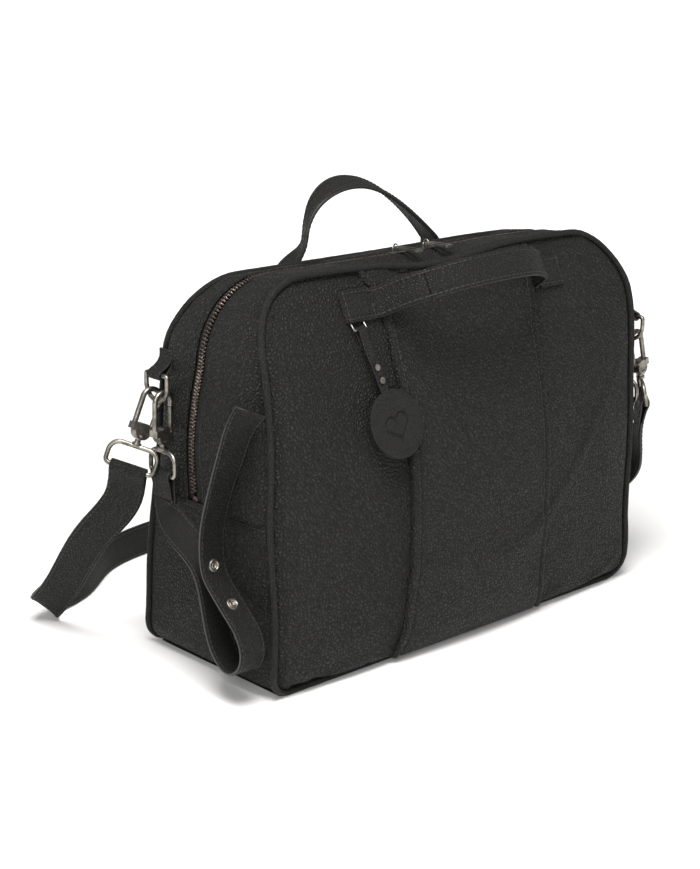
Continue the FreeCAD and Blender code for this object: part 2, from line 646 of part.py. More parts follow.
# yaw turns the hook about Z, tilt swings its foot away from the bag, spin turns the loop on its swivel
HOOKS = {
    "left_stroller": dict(side="left", y=-6.6, yaw=6, tilt=2, spin=-8, width=STRAP_W),
    "left_shoulder": dict(side="left", y=6.9, yaw=-6, tilt=25, spin=48, width=SHOULDER_W),
    "right_stroller": dict(side="right", y=6.9, yaw=174, tilt=2, spin=6, width=STRAP_W),
    "right_shoulder": dict(side="right", y=-6.6, yaw=186, tilt=14, spin=-49, width=SHOULDER_W),
}
EYE_DROP = 2.2                       # the hook's eye centre hangs this far below the ring's wire


def hook_placement(hook):
    """Where the hook's own frame sits in the bag's frame."""
    sign = -1 if hook["side"] == "left" else 1
    r = RING_W / 2
    wire_z = RING_Z - RING_H + r - 0.5 - math.sqrt((r - 0.5) ** 2 - hook["y"] ** 2)
    eye = V(sign * RING_OUT, RING_Y[hook["side"]] + hook["y"], wire_z - EYE_DROP)
    swing = FreeCAD.Rotation(V(0, 1, 0), -sign * hook["tilt"])
    return FreeCAD.Placement(eye, swing.multiply(FreeCAD.Rotation(V(0, 0, 1), hook["yaw"])))


def make_hooks():
    for name, hook in HOOKS.items():
        place = hook_placement(hook)
        body, gate, loop = hook_parts(hook["width"])
        loop.rotate(V(0, 0, 0), V(0, 0, 1), hook["spin"])
        for label, part in (("hook", body), ("gate", gate), ("loop", loop)):
            part.Placement = place.multiply(part.Placement)
            save("%s_%s" % (name, label), part)


def loop_foot(name):
    """Middle of the lower bar of a hook's strap loop, and the bar's direction."""
    hook = HOOKS[name]
    place = hook_placement(hook)
    spin = FreeCAD.Rotation(V(0, 0, 1), hook["spin"])
    foot = place.multVec(V(0, 0, -LOOP_DROP - LOOP_H))
    along = place.Rotation.multVec(spin.multVec(V(0, 1, 0)))
    return foot, along


def strap_eye(name, toward):
    """Strap end folded round the lower bar of a loop, its tail along toward.

    Returns the solid, where the strap goes on, its direction there and its width direction.
    """
    width = HOOKS[name]["width"] - 1
    foot, along = loop_foot(name)
    toward = (toward - along * toward.dot(along)).normalize()
    thick = along.cross(toward)
    inner = WIRE_R + GAP
    outer = inner + EYE_LEATHER
    edge = foot - along * (width / 2)
    tube = Part.makeCylinder(outer, width, edge, along)
    tail = Part.makePolygon([edge + a for a in (
        thick * outer, thick * 1.5 + toward * EYE_TAIL, thick * -1.5 + toward * EYE_TAIL, thick * -outer,
        thick * outer)])
    tail = Part.Face(tail).extrude(along * width)
    hole = Part.makeCylinder(inner, width + 2, edge - along, along)
    eye = tube.fuse(tail).cut(hole).removeSplitter()
    return eye, foot + toward * (EYE_TAIL + 1.6), toward, along


def facing(vector, like):
    return vector if vector.dot(like) > 0 else -vector


def stroller_strap(side, points, sides, snap_shares):
    """Strap with its stitched eye, and two snap sockets on its outer face."""
    eye, start, toward, across = strap_eye(side + "_stroller", V(0, -0.35 if side == "left" else 0.1, -1))
    points = [start] + points
    sides = [facing(across, sides[0])] + sides
    ends = (toward, points[-1] - points[-2])
    save(side + "_stroller_strap_eye", eye)
    save(side + "_stroller_strap", ribbon(points, sides, STRAP_W, STROLLER_T, 60, ends))
    out = V(0, -1, 1) if side == "left" else V(1, 0, 0)
    snaps = []
    for centre, across, lift in ribbon_frames(points, sides, snap_shares, ends):
        lift = facing(lift, out)
        snaps.append(Part.makeCylinder(SNAP_R, SNAP_H, centre + lift * (STROLLER_T / 2 + 0.5), lift))
    save(side + "_stroller_snaps", *snaps)


def make_straps():
    # left: twisted onto its edge, down the end panel, round a loop and up to its free end
    x = -(HALF + 17.5)
    stroller_strap("left", [
        V(-207.3, 14, 114), V(-208, -9, 102), V(x, -24, 90), V(x, -30.5, 72), V(x, -36, 50),
        V(x, -46, 32), V(x, -59.5, 25.5), V(x, -70.5, 31), V(x, -75, 43), V(x, -70.5, 56),
        V(x, -57.5, 68), V(x, -44, 79.5), V(x, -34.5, 90), V(x, -31.5, 102), V(x, -32, 118),
        V(x, -36.5, 136), V(x + 1, -44, 158), V(x + 2, -54, 182), V(x + 3, -64, 203), V(x + 4, -72, 214)], [
        V(0.5, -0.85, 0.3), V(0.85, -0.5, 0.2), V(1, -0.15, 0), V(1, 0, 0), V(1, 0, 0),
        V(1, 0, 0), V(1, 0, 0), V(1, 0, 0), V(1, 0, 0), V(1, 0, 0),
        V(1, 0, 0), V(1, 0, 0), V(1, 0, 0), V(1, 0, 0), V(1, 0, -0.05),
        V(1, 0, -0.1), V(0.95, 0, -0.25), V(0.9, -0.05, -0.45), V(0.75, -0.05, -0.65), V(0.6, 0, -0.8)],
        (0.565, 0.655))
    # right: a short loop that hangs close to the end panel
    x = HALF + 4.0
    stroller_strap("right", [
        V(x + 8, -50, 108), V(x + 8, -46, 70), V(x + 8.5, -43, 38), V(x + 15, -41, 25), V(x + 21, -40, 38),
        V(x + 19, -38, 70), V(x + 16, -37, 100)], [
        V(0, 0.97, 0.1), V(0, 0.97, 0.1), V(0, 0.97, 0.1), V(0, 0.97, 0.1), V(0, 0.97, 0.1),
        V(0, 0.97, 0.1), V(0, 0.97, 0.1)], (0.78, 0.9))

    # shoulder strap: straight down to the ground at the left end, then on its edge behind the bag
    left_eye, left_start, left_way, left_across = strap_eye("left_shoulder", V(0, 0.66, -0.75))
    save("left_shoulder_strap_eye", left_eye)
    right_eye, right_start, right_way, right_across = strap_eye("right_shoulder", V(0.15, 0.3, -1))
    save("right_shoulder_strap_eye", right_eye)
    on_edge = SHOULDER_W / 2 + 0.6
    flat = [(-171, 188), (-121, 226), (-72, 241), (-30, 246), (35, 244), (95, 230), (150, 204), (187, 168)]
    path = [left_start, V(-227, 87, 94), V(-227.3, 122, 54.5), V(-227.5, 149, 24.5), V(-226, 163, 13.6),
            V(-216, 171, 14.4), V(-197, 177, 15)]
    path += [V(x, y, on_edge) for x, y in flat]
    path += [V(212, 128, on_edge + 0.6), V(228, 78, 22), V(232, 25, 38), V(229, -22, 64), V(226.5, -54, 92),
             right_start]
    down = V(0, 0, -1)
    sides = [facing(left_across, V(1, 0, -0.5)), V(0.66, -0.66, -0.33), V(0.7, -0.58, -0.4),
             V(0.72, -0.54, -0.44), V(0.62, -0.38, -0.66), V(0.4, -0.2, -0.88), V(0.12, -0.05, -0.98)]
    sides += [down] * len(flat)
    sides += [V(0, -0.1, -1), V(0, -0.35, -0.9), V(0, -0.6, -0.8), V(-0.1, -0.8, -0.55),
              V(-0.35, -0.85, -0.35), facing(right_across, V(0, -0.8, -0.5))]
    ends = (left_way, -right_way)
    save("shoulder_strap", ribbon(path, sides, SHOULDER_W, STRAP_T, 110, ends))
    centres = [frame[0] for frame in ribbon_frames(path, sides, spread(0, 1, 110), ends)]
    length = sum((b - a).Length for a, b in zip(centres, centres[1:]))
    print("shoulder strap length %.0f mm" % length)


# ---- Hang tag -----------------------------------------------------------------------


def tag_ring(radius):
    """Rectangle of wire that leans out from its top bar."""
    half, foot, r = TAG_RING_W / 2, -TAG_RING_H, 2.0
    q = r * (1 - math.sqrt(0.5))
    corners = [(half, 0, -1, -1), (half, foot, -1, 1), (-half, foot, 1, 1), (-half, 0, 1, -1)]
    edges = []
    for k, (x, z, dx, dz) in enumerate(corners):
        across, along = V(x + dx * r, 0, z), V(x, 0, z + dz * r)
        middle = V(x + dx * q, 0, z + dz * q)
        first, last = (across, along) if k % 2 == 0 else (along, across)
        edges.append((first, middle, last))
    wire = []
    for k, (first, middle, last) in enumerate(edges):
        wire.append(Part.Arc(first, middle, last).toShape())
        wire.append(Part.makeLine(last, edges[(k + 1) % 4][0]))
    ring = bar(Part.Wire(wire), radius)
    ring.rotate(V(0, 0, 0), V(1, 0, 0), -RING_LEAN)
    ring.translate(TAG_RING_TOP)
    return ring


def tag_pivot():
    """Middle of the ring's lower bar, where the tag hangs."""
    lean = math.radians(RING_LEAN)
    return TAG_RING_TOP + V(0, -math.sin(lean) * TAG_RING_H, -math.cos(lean) * TAG_RING_H)


def hang(name, *shapes):
    """Save shapes of the tag's own frame, whose origin is the ring's lower bar."""
    for shape in shapes:
        shape.rotate(V(0, 0, 0), V(1, 0, 0), -TAG_LEAN)
        shape.translate(tag_pivot())
    save(name, *shapes)


def make_tag():
    save("tag_ring", tag_ring(TAG_WIRE_R))
    clear, half, end, step = TAG_WIRE_R + GAP, 3.7, -TAG_DROP, 1.5
    eye = Part.makeCylinder(clear + step, 2 * half, V(-half, 0, 0), V(1, 0, 0))
    plate = box(-half, half, -step, step, end, 0)
    plate.rotate(V(0, 0, 0), V(0, 1, 0), -TAG_TILT)
    strap = eye.fuse(plate)
    hang("tag_strap", strap.cut(Part.makeCylinder(clear, 3 * half, V(-1.5 * half, 0, 0), V(1, 0, 0))))
    rivets = [Part.makeCylinder(2.4, 1.2, V(0, -step - TOUCH, z), V(0, -1, 0)) for z in (end + 18, end + 8)]
    disc = Part.makeCylinder(TAG_R, 2 * step, V(0, step, end - TAG_R - TOUCH), V(0, -1, 0))
    disc = disc.makeFillet(0.8, disc.Edges)
    for shape in rivets + [disc]:
        shape.rotate(V(0, 0, 0), V(0, 1, 0), -TAG_TILT)
    hang("tag_rivets", *rivets)
    hang("tag_disc", disc)


os.makedirs("parts", exist_ok=True)
make_panels()
make_centre_panel()
make_zip_gusset()
make_lower_gussets()
make_piping()
make_base()
make_lining()
sewn_ends(front_y, -1, HANDLE_Z, "front_handle_tabs")
sewn_ends(back_y, 1, HANDLE_Z - 8, "back_handle_tabs")
make_front_handle()
make_back_handle()
make_sliders()
make_ring("left")
make_ring("right")
make_hooks()
make_straps()
make_tag()
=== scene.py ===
import bpy
import math
import numpy as np
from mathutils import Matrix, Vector
from mathutils.bvhtree import BVHTree


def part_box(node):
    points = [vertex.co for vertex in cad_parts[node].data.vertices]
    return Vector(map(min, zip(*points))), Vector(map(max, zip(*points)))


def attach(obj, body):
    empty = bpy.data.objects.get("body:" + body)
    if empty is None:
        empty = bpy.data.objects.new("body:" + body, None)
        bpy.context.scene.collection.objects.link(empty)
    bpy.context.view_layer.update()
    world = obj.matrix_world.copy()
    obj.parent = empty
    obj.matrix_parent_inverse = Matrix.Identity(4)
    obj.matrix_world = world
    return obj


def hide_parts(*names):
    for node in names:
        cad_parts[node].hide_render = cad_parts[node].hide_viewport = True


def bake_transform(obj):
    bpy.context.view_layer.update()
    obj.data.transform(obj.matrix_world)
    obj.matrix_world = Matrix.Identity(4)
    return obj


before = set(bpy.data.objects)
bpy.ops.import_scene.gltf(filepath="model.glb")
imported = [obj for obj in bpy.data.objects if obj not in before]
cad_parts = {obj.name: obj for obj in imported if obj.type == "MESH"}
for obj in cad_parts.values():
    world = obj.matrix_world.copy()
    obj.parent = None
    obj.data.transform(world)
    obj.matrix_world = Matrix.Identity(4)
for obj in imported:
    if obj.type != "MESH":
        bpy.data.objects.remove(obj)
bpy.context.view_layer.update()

# ---- Studio -------------------------------------------------------------------------
# A white table in a white room, one large soft box overhead and two weaker ones beside it.
# The camera stands a little above the bag and looks at its front left corner.
MM = 0.001
CAMERA_TURN, CAMERA_RISE, CAMERA_DISTANCE = math.radians(-42.15), math.radians(15.67), 1.3193
CAMERA_TARGET = Vector((-0.0503, 0.0, 0.1543))

camera = bpy.data.objects.new("camera", bpy.data.cameras.new("camera"))
bpy.context.scene.collection.objects.link(camera)
camera.data.lens = 71.54
camera.data.sensor_width = 36
away = Vector((math.sin(CAMERA_TURN) * math.cos(CAMERA_RISE),
               -math.cos(CAMERA_TURN) * math.cos(CAMERA_RISE), math.sin(CAMERA_RISE)))
camera.location = CAMERA_TARGET + away * CAMERA_DISTANCE
camera.rotation_euler = (-away).to_track_quat("-Z", "Y").to_euler()
bpy.context.scene.camera = camera
bpy.context.scene.view_settings.view_transform = "Standard"

for name, place, size, power, colour in (
        ("overhead_light", (-0.55, -0.5, 1.75), 0.9, 50, (1.0, 0.985, 0.96)),
        ("left_light", (-1.7, -1.3, 1.2), 0.7, 12, (1.0, 0.98, 0.95)),
        ("right_light", (1.3, -1.9, 1.1), 1.2, 3, (0.95, 0.98, 1.0))):
    lamp = bpy.data.lights.new(name, "AREA")
    lamp.size = size
    lamp.energy = power
    lamp.color = colour
    lamp_object = bpy.data.objects.new(name, lamp)
    lamp_object.location = place
    lamp_object.rotation_euler = (CAMERA_TARGET - Vector(place)).to_track_quat("-Z", "Y").to_euler()
    bpy.context.scene.collection.objects.link(lamp_object)

room = bpy.data.worlds.new("room")
bpy.context.scene.world = room
room.use_nodes = True
room.node_tree.nodes["Background"].inputs["Color"].default_value = (1, 1, 1, 1)
room.node_tree.nodes["Background"].inputs["Strength"].default_value = 0.3


class Wire:
    """A shader socket that takes part in ordinary arithmetic."""

    def __init__(self, finish, socket):
        self.finish = finish
        self.socket = socket

    def sum(self, operation, first, second=0.0):
        return self.finish.node("ShaderNodeMath", {"operation": operation}, {0: first, 1: second})

    def __add__(self, other):
        return self.sum("ADD", self, other)

    __radd__ = __add__

    def __mul__(self, other):
        return self.sum("MULTIPLY", self, other)

    __rmul__ = __mul__

    def __sub__(self, other):
        return self.sum("SUBTRACT", self, other)

    def __rsub__(self, other):
        return self.sum("SUBTRACT", other, self)

    def __pow__(self, other):
        return self.sum("POWER", self, other)


class Finish:
    """A material made of nodes, with one Principled shader."""

    def __init__(self, name, **constants):
        self.material = bpy.data.materials.new(name)
        self.material.use_nodes = True
        self.tree = self.material.node_tree
        self.shader = self.tree.nodes["Principled BSDF"]
        for socket, value in constants.items():
            self.shader.inputs[socket.replace("_", " ")].default_value = value

    def node(self, kind, settings=None, inputs=None, out=0):
        node = self.tree.nodes.new(kind)
        for key, value in (settings or {}).items():
            setattr(node, key, value)
        for key, value in (inputs or {}).items():
            if isinstance(value, Wire):
                self.tree.links.new(value.socket, node.inputs[key])
            else:
                node.inputs[key].default_value = value
        return Wire(self, node.outputs[out])

    def mix(self, share, first, second):
        return self.node("ShaderNodeMix", {"data_type": "RGBA"}, {0: share, 6: first, 7: second}, out=2)

    def ramp(self, value, low, high):
        return self.node("ShaderNodeMapRange", {"interpolation_type": "SMOOTHSTEP"},
                         {"Value": value, "From Min": low, "From Max": high})

    def noise(self, where, scale, detail=2.0):
        return self.node("ShaderNodeTexNoise", {}, {"Vector": where, "Scale": scale, "Detail": detail})

    def shade(self, **links):
        for name, wire in links.items():
            self.tree.links.new(wire.socket, self.shader.inputs[name.replace("_", " ")])
        return self.material

    def place(self):
        return self.node("ShaderNodeTexCoord", out="Object")

    def relief(self, height, depth):
        return self.node("ShaderNodeBump", {}, {"Height": height, "Distance": depth, "Strength": 1.0})


table_finish = Finish("white_table", Roughness=0.6, Specular_IOR_Level=0.3, Emission_Strength=1.0)
table_place = table_finish.place()
table_speck = table_finish.noise(table_place, 60.0)
table_reach = table_finish.node("ShaderNodeVectorMath", {"operation": "LENGTH"}, {0: table_place}, out=1)
# Painted light: the table glows, faintly near the bag and rising to near white between 0.3 m and 1.9 m out.
painted_table_glow = table_finish.ramp(table_reach, 0.3, 1.9)
table_finish.shade(
    Base_Color=table_finish.mix(table_speck, (0.86, 0.86, 0.87, 1), (0.88, 0.88, 0.88, 1)),
    Emission_Color=table_finish.mix(painted_table_glow, (0.08, 0.08, 0.08, 1), (0.9, 0.9, 0.9, 1)))
table_mesh = bpy.data.meshes.new("table")
table_mesh.from_pydata([(-30, -30, 0), (30, -30, 0), (30, 30, 0), (-30, 30, 0)], [], [(0, 1, 2, 3)])
table_mesh.materials.append(table_finish.material)
table = bpy.data.objects.new("table", table_mesh)
bpy.context.scene.collection.objects.link(table)


# ---- Front panel --------------------------------------------------------------------
# One piece of pebbled cowhide, lined, with rounded corners. It is sewn to the piping all round
# and hangs between its seams like a pillow, with small dots pressed into its two outer areas.
PIPING_R = 2.5 * MM
LEATHER_T = 2.4 * MM
SEAM_IN = 1.0 * MM
CORNER_R = 52.5 * MM
FOOT_R = 18 * MM
INWARD_MOST = 0.3 * MM
CLOTH_FRAMES = 18
RELIEF_GAIN = 2.2
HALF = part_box("front_piping")[1].x - PIPING_R
TOP_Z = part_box("front_piping")[1].z - PIPING_R
BACK_TOP_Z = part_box("back_piping")[1].z - PIPING_R
HALF_DEPTH = 73 * MM
PILLOW = 19.5 * MM
FRONT_EDGE = [(0.0, 0.959), (0.03, 1.01), (0.09, 1.055), (0.2, 1.05), (0.4, 1.04), (0.6, 1.034),
              (0.76, 1.0), (0.845, 0.932), (0.9, 0.84), (0.95, 0.74), (1.0, 0.66)]
LEATHER_BLACK = (0.0098, 0.0098, 0.0088, 1)
# Painted shade, put into the creases between pebbles and into the pressed dots.
PAINTED_CREASE_SHADE = (0.0012, 0.0012, 0.0011, 1)
DOT_COLUMNS, DOT_ROWS, DOT_R = 29 * MM, 34 * MM, 0.95 * MM


def leather(name, grain, depth, roughness=0.5, dots=False, tone=1.0):
    """Pebbled black leather, with painted shade in the creases between its pebbles and in its pressed dots: grain
    is the size of a pebble, depth the height of its relief.
    """
    f = Finish(name, Specular_IOR_Level=0.26)
    where = f.place()
    stray = f.node("ShaderNodeTexNoise", {}, {"Vector": where, "Scale": 0.5 / grain, "Detail": 1.0},
                   out="Color")
    moved = f.node("ShaderNodeVectorMath", {"operation": "MULTIPLY_ADD"},
                   {0: stray, 1: (grain * 0.9,) * 3, 2: where})
    pebble = f.node("ShaderNodeTexVoronoi", {"feature": "DISTANCE_TO_EDGE"},
                    {"Vector": moved, "Scale": 1 / grain})
    fine = f.node("ShaderNodeTexVoronoi", {"feature": "DISTANCE_TO_EDGE"},
                  {"Vector": moved, "Scale": 2.7 / grain})
    swell = f.ramp(pebble, 0.0, 0.34)
    crack = f.ramp(fine, 0.0, 0.25)
    patch = f.noise(where, 14.0, 3.0)
    pore = f.noise(where, 5 / grain, 2.0)
    height = swell * (0.7 + patch * 0.5) + crack * 0.12 + pore * 0.06
    top = f.mix(patch, LEATHER_BLACK, tuple(c * 1.5 * tone for c in LEATHER_BLACK[:3]) + (1,))
    # Painted shade: the creases between pebbles are darkened and the pebble tops keep the lighter tone, so the
    # pebbles read lit against shaded creases.
    colour = f.mix(swell * 0.75 + 0.25, PAINTED_CREASE_SHADE, top)
    if dots:
        part = f.node("ShaderNodeSeparateXYZ", {}, {0: where}, out="X")
        high = Wire(f, part.socket.node.outputs["Z"])
        column = part * (1 / DOT_COLUMNS)
        nearest = column.sum("ROUND", column)
        aside = (column - nearest) * DOT_COLUMNS
        row = high * (1 / DOT_ROWS) + nearest.sum("MODULO", nearest.sum("ABSOLUTE", nearest), 2.0) * 0.5
        above = (row - row.sum("ROUND", row)) * DOT_ROWS
        reach = (aside * aside + above * above) ** 0.5
        dot = 1 - f.ramp(reach, DOT_R * 0.55, DOT_R * 1.25)
        height = height - dot * 3.0
        # Painted shade: each pressed dot is darkened as if shaded in its hollow.
        colour = f.mix(dot * 0.8, colour, PAINTED_CREASE_SHADE)
    rough = (1 - swell) * 0.3 + patch * 0.12 + (roughness - 0.05)
    return f.shade(Base_Color=colour, Roughness=rough, Normal=f.relief(height, RELIEF_GAIN * depth))


def through(knots, t):
    """Smooth curve through (position, value) knots, flat beyond both ends, for an array t."""
    at = np.array([k[0] for k in knots], float)
    value = np.array([k[1] for k in knots], float)
    if value.ndim == 1:
        value = value[:, None]
    ahead = np.minimum(np.arange(len(at)) + 1, len(at) - 1)
    behind = np.maximum(np.arange(len(at)) - 1, 0)
    slope = (value[ahead] - value[behind]) / (at[ahead] - at[behind])[:, None]
    t = np.clip(np.asarray(t, float), at[0], at[-1])
    k = np.clip(np.searchsorted(at, t, side="right") - 1, 0, len(at) - 2)
    h = (at[k + 1] - at[k])[..., None]
    s = (t[..., None] - at[k][..., None]) / h
    curve = ((2 * s**3 - 3 * s**2 + 1) * value[k] + (s**3 - 2 * s**2 + s) * h * slope[k]
             + (3 * s**2 - 2 * s**3) * value[k + 1] + (s**3 - s**2) * h * slope[k + 1])
    return curve[..., 0] if curve.shape[-1] == 1 else curve


def step(value, low, high):
    t = np.clip((value - low) / (high - low), 0, 1)
    return t * t * (3 - 2 * t)


def front_edge(z):
    return -through(FRONT_EDGE, z / TOP_Z) * HALF_DEPTH


def slump(points):
    """Where a point of the soft shell comes to lie: the top edge dips between the handle's ends,
    and the leather over the top and the ends goes in shallow waves."""
    x, y, z = (points[..., k] for k in range(3))
    dip = np.exp(-((x + 8 * MM) / (56 * MM)) ** 2) * step(z, 250 * MM, TOP_Z) * step(-y, 14 * MM, 34 * MM)
    bow = np.exp(-((x - 95 * MM) / (60 * MM)) ** 2) * step(z, 255 * MM, TOP_Z)
    out = points.copy()
    out[..., 2] = z - dip * 7.5 * MM + bow * 1.6 * MM
    out[..., 1] = y + dip * 2.0 * MM
    lower = step(z, 10 * MM, 60 * MM) * (1 - step(z, 150 * MM, 240 * MM))
    end = step(np.abs(x), HALF - 30 * MM, HALF - 2 * MM)
    out[..., 0] = out[..., 0] + np.sign(x) * end * lower * 1.2 * MM * np.sin(z / (21 * MM) + y / (17 * MM))
    return out


def stuffed(inside):
    """Swell of the padding just inside a seam, by distance from the seam."""
    return 3.4 * MM * step(inside, 0.5 * MM, 9 * MM) * (1 - step(inside, 16 * MM, 75 * MM))


def outline_half(z, low, high, half, foot, corner):
    """Half width at height z of an upright panel with rounded corners."""
    below = np.clip(foot - (z - low), 0, foot)
    above = np.clip(corner - (high - z), 0, corner)
    return (half - foot + np.sqrt(foot**2 - below**2)) - (corner - np.sqrt(corner**2 - above**2))


def rows_between(low, high, foot, corner, count):
    """Heights that crowd together round the panel's rounded corners."""
    quarter = np.linspace(0, math.pi / 2, 9)
    lower = low + foot * (1 - np.cos(quarter[:-1]))
    upper = high - corner + corner * np.sin(quarter[1:])
    return np.concatenate([lower, np.linspace(low + foot, high - corner, count), upper])


def sheet(name, grid, outward, material, body="bag", thick=0.0, cad=(), closed=False):
    """A sheet of leather from a grid of points; outward is a direction that its face looks along."""
    rows, columns = grid.shape[:2]
    faces = []
    for i in range(rows - 1 + closed):
        for j in range(columns - 1):
            a, b = i * columns + j, (i + 1) % rows * columns + j
            faces.append((a, a + 1, b + 1, b))
    across = np.cross(grid[1:, 1:] - grid[:-1, :-1], grid[:-1, 1:] - grid[1:, :-1])
    aim = np.broadcast_to(np.asarray(outward, float), grid.shape)[:-1, :-1]
    if (across * aim).sum() > 0:
        faces = [f[::-1] for f in faces]
    mesh = bpy.data.meshes.new(name)
    mesh.from_pydata([tuple(p) for p in grid.reshape(-1, 3)], [], faces)
    mesh.polygons.foreach_set("use_smooth", [True] * len(faces))
    piece = bpy.data.objects.new(name, mesh)
    bpy.context.scene.collection.objects.link(piece)
    mesh.materials.append(material)
    if thick:
        thicken(piece, thick)
    if body:
        settle_on(piece, body, cad)
    return piece


def thicken(piece, thick):
    wall = piece.modifiers.new("thickness", "SOLIDIFY")
    wall.thickness = thick
    wall.offset = -1


def settle_on(piece, body, cad=()):
    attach(piece, body)
    if cad:
        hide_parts(*cad)


def relax(piece, pinned, outward, cap, push):
    """Lets the sheet hang between its pinned seams, filled from inside. It keeps what the sheet
    moved by, up to cap, but hardly any of it inward, where the lining is."""
    rest = np.array([v.co for v in piece.data.vertices])
    group = piece.vertex_groups.new(name="seam")
    group.add([int(k) for k in np.flatnonzero(pinned)], 1.0, "REPLACE")
    cloth = piece.modifiers.new("cloth", "CLOTH")
    cloth.settings.quality = 6
    cloth.settings.mass = 0.03
    cloth.settings.tension_stiffness = 25
    cloth.settings.compression_stiffness = 25
    cloth.settings.bending_stiffness = 6
    cloth.settings.vertex_group_mass = "seam"
    cloth.settings.use_pressure = True
    cloth.settings.uniform_pressure_force = push
    cloth.settings.shrink_min = -0.012
    cloth.collision_settings.use_collision = False
    for moment in range(1, CLOTH_FRAMES + 1):
        bpy.context.scene.frame_set(moment)
    hung = piece.evaluated_get(bpy.context.evaluated_depsgraph_get()).to_mesh()
    moved = np.array([v.co for v in hung.vertices]) - rest
    piece.modifiers.remove(cloth)
    piece.vertex_groups.remove(group)
    bpy.context.scene.frame_set(1)
    length = np.linalg.norm(moved, axis=1, keepdims=True)
    moved *= np.minimum(1, cap / np.maximum(length, 1e-9))
    out = moved @ np.asarray(outward, float)
    moved += np.maximum(0, -INWARD_MOST - out)[:, None] * np.asarray(outward, float)
    piece.data.vertices.foreach_set("co", (rest + moved).ravel())
    piece.data.update()


def hung_panel(label, grid, outward, material, cap, push):
    """Hangs a large panel between its seams; gives its outer face, as a tree to cast rays at."""
    piece = sheet(label + "_leather_panel", grid, outward, material, body=None)
    border = np.ones(grid.shape[:2], bool)
    border[2:-2, 2:-2] = False
    relax(piece, border.ravel(), outward, cap, push)
    face = BVHTree.FromPolygons([v.co.copy() for v in piece.data.vertices],
                                [tuple(p.vertices) for p in piece.data.polygons])
    thicken(piece, LEATHER_T)
    settle_on(piece, "bag", (label + "_panel",))
    return face


def on_panel(face, shape, way, x, z, off):
    """Point of a hung panel at x, z, moved off its face, and the face's normal there. The panel
    looks along +Y where way is 1 and along -Y where it is -1."""
    hit, normal, _, _ = face.ray_cast(Vector((x, way * 0.3, z)), Vector((0, -way, 0)))
    if hit is None:
        hit, normal = Vector(shape(np.array([x]), np.array([z]))[0]), Vector((0, way, 0))
    normal = normal if normal.y * way > 0 else -normal
    return hit + normal * off, normal


def panel_grid(face, low, high, count, columns):
    """Grid over a rounded upright panel, from its lower edge to its upper edge."""
    z = rows_between(low, high, FOOT_R - SEAM_IN, CORNER_R - SEAM_IN, count)
    half = outline_half(z, low, high, HALF - SEAM_IN, FOOT_R - SEAM_IN, CORNER_R - SEAM_IN)
    share = np.linspace(-1, 1, columns)
    x = half[:, None] * share[None, :]
    z = np.repeat(z[:, None], columns, 1)
    return face(x, z)


def front_face(x, z):
    """Outer face of the front panel; it turns in where it meets the piping."""
    rise = np.sin(math.pi * np.clip(z / TOP_Z, 0, 0.8) / 0.8)
    y = front_edge(z) - PILLOW * np.clip(1 - (x / HALF) ** 2, 0, 1) * rise
    low = PIPING_R + SEAM_IN
    half = outline_half(z, low, TOP_Z - SEAM_IN, HALF - SEAM_IN, FOOT_R - SEAM_IN, CORNER_R - SEAM_IN)
    inside = np.minimum(np.minimum(half - np.abs(x), TOP_Z - SEAM_IN - z), z - low)
    y = y + 1.7 * MM * (1 - step(inside, 0, 7 * MM)) - stuffed(inside)
    return slump(np.stack([x, y, z], -1))


front_leather = leather("front_leather", 2.7 * MM, 0.5 * MM, 0.45, dots=True)
front_grid = panel_grid(front_face, PIPING_R + SEAM_IN, TOP_Z - SEAM_IN, 64, 101)
front_hung = hung_panel("front", front_grid, (0, -1, 0), front_leather, 3.5 * MM, 1.0)


def on_front(x, z, off=0.0):
    return on_panel(front_hung, front_face, -1, x, z, off)


# ---- Stitching ----------------------------------------------------------------------
# Black waxed thread in a lockstitch, 4 mm to the stitch. Each stitch is a short plump bead of
# thread that lies in a row along the seam.
STITCH, THREAD_R = 4.0 * MM, 0.42 * MM


def thread_material():
    f = Finish("black_thread", Specular_IOR_Level=0.5)
    where = f.place()
    twist = f.node("ShaderNodeTexWave", {"wave_type": "BANDS", "bands_direction": "DIAGONAL"},
                   {"Vector": where, "Scale": 900.0, "Distortion": 1.0}, out=1)
    colour = f.mix(twist, (0.006, 0.006, 0.006, 1), (0.03, 0.029, 0.028, 1))
    return f.shade(Base_Color=colour, Roughness=twist * 0.2 + 0.45, Normal=f.relief(twist, 0.1 * MM))


def bead(name, length, radius, flat, sides=6):
    """A plump rounded bar along X, narrower at both ends."""
    ends = [(-0.5, 0.35), (-0.4, 0.8), (-0.15, 1.0), (0.15, 1.0), (0.4, 0.8), (0.5, 0.35)]
    points, faces = [], []
    for along, share in ends:
        for k in range(sides):
            a = 2 * math.pi * k / sides
            points.append((along * length, radius * share * math.cos(a), radius * flat * share * math.sin(a)))
    for i in range(len(ends) - 1):
        for k in range(sides):
            m = (k + 1) % sides
            faces.append((i * sides + k, (i + 1) * sides + k, (i + 1) * sides + m, i * sides + m)[::-1])
    faces.append(tuple(range(sides)))
    faces.append(tuple((len(ends) - 1) * sides + k for k in reversed(range(sides))))
    mesh = bpy.data.meshes.new(name)
    mesh.from_pydata(points, [], faces)
    mesh.polygons.foreach_set("use_smooth", [True] * len(faces))
    return mesh


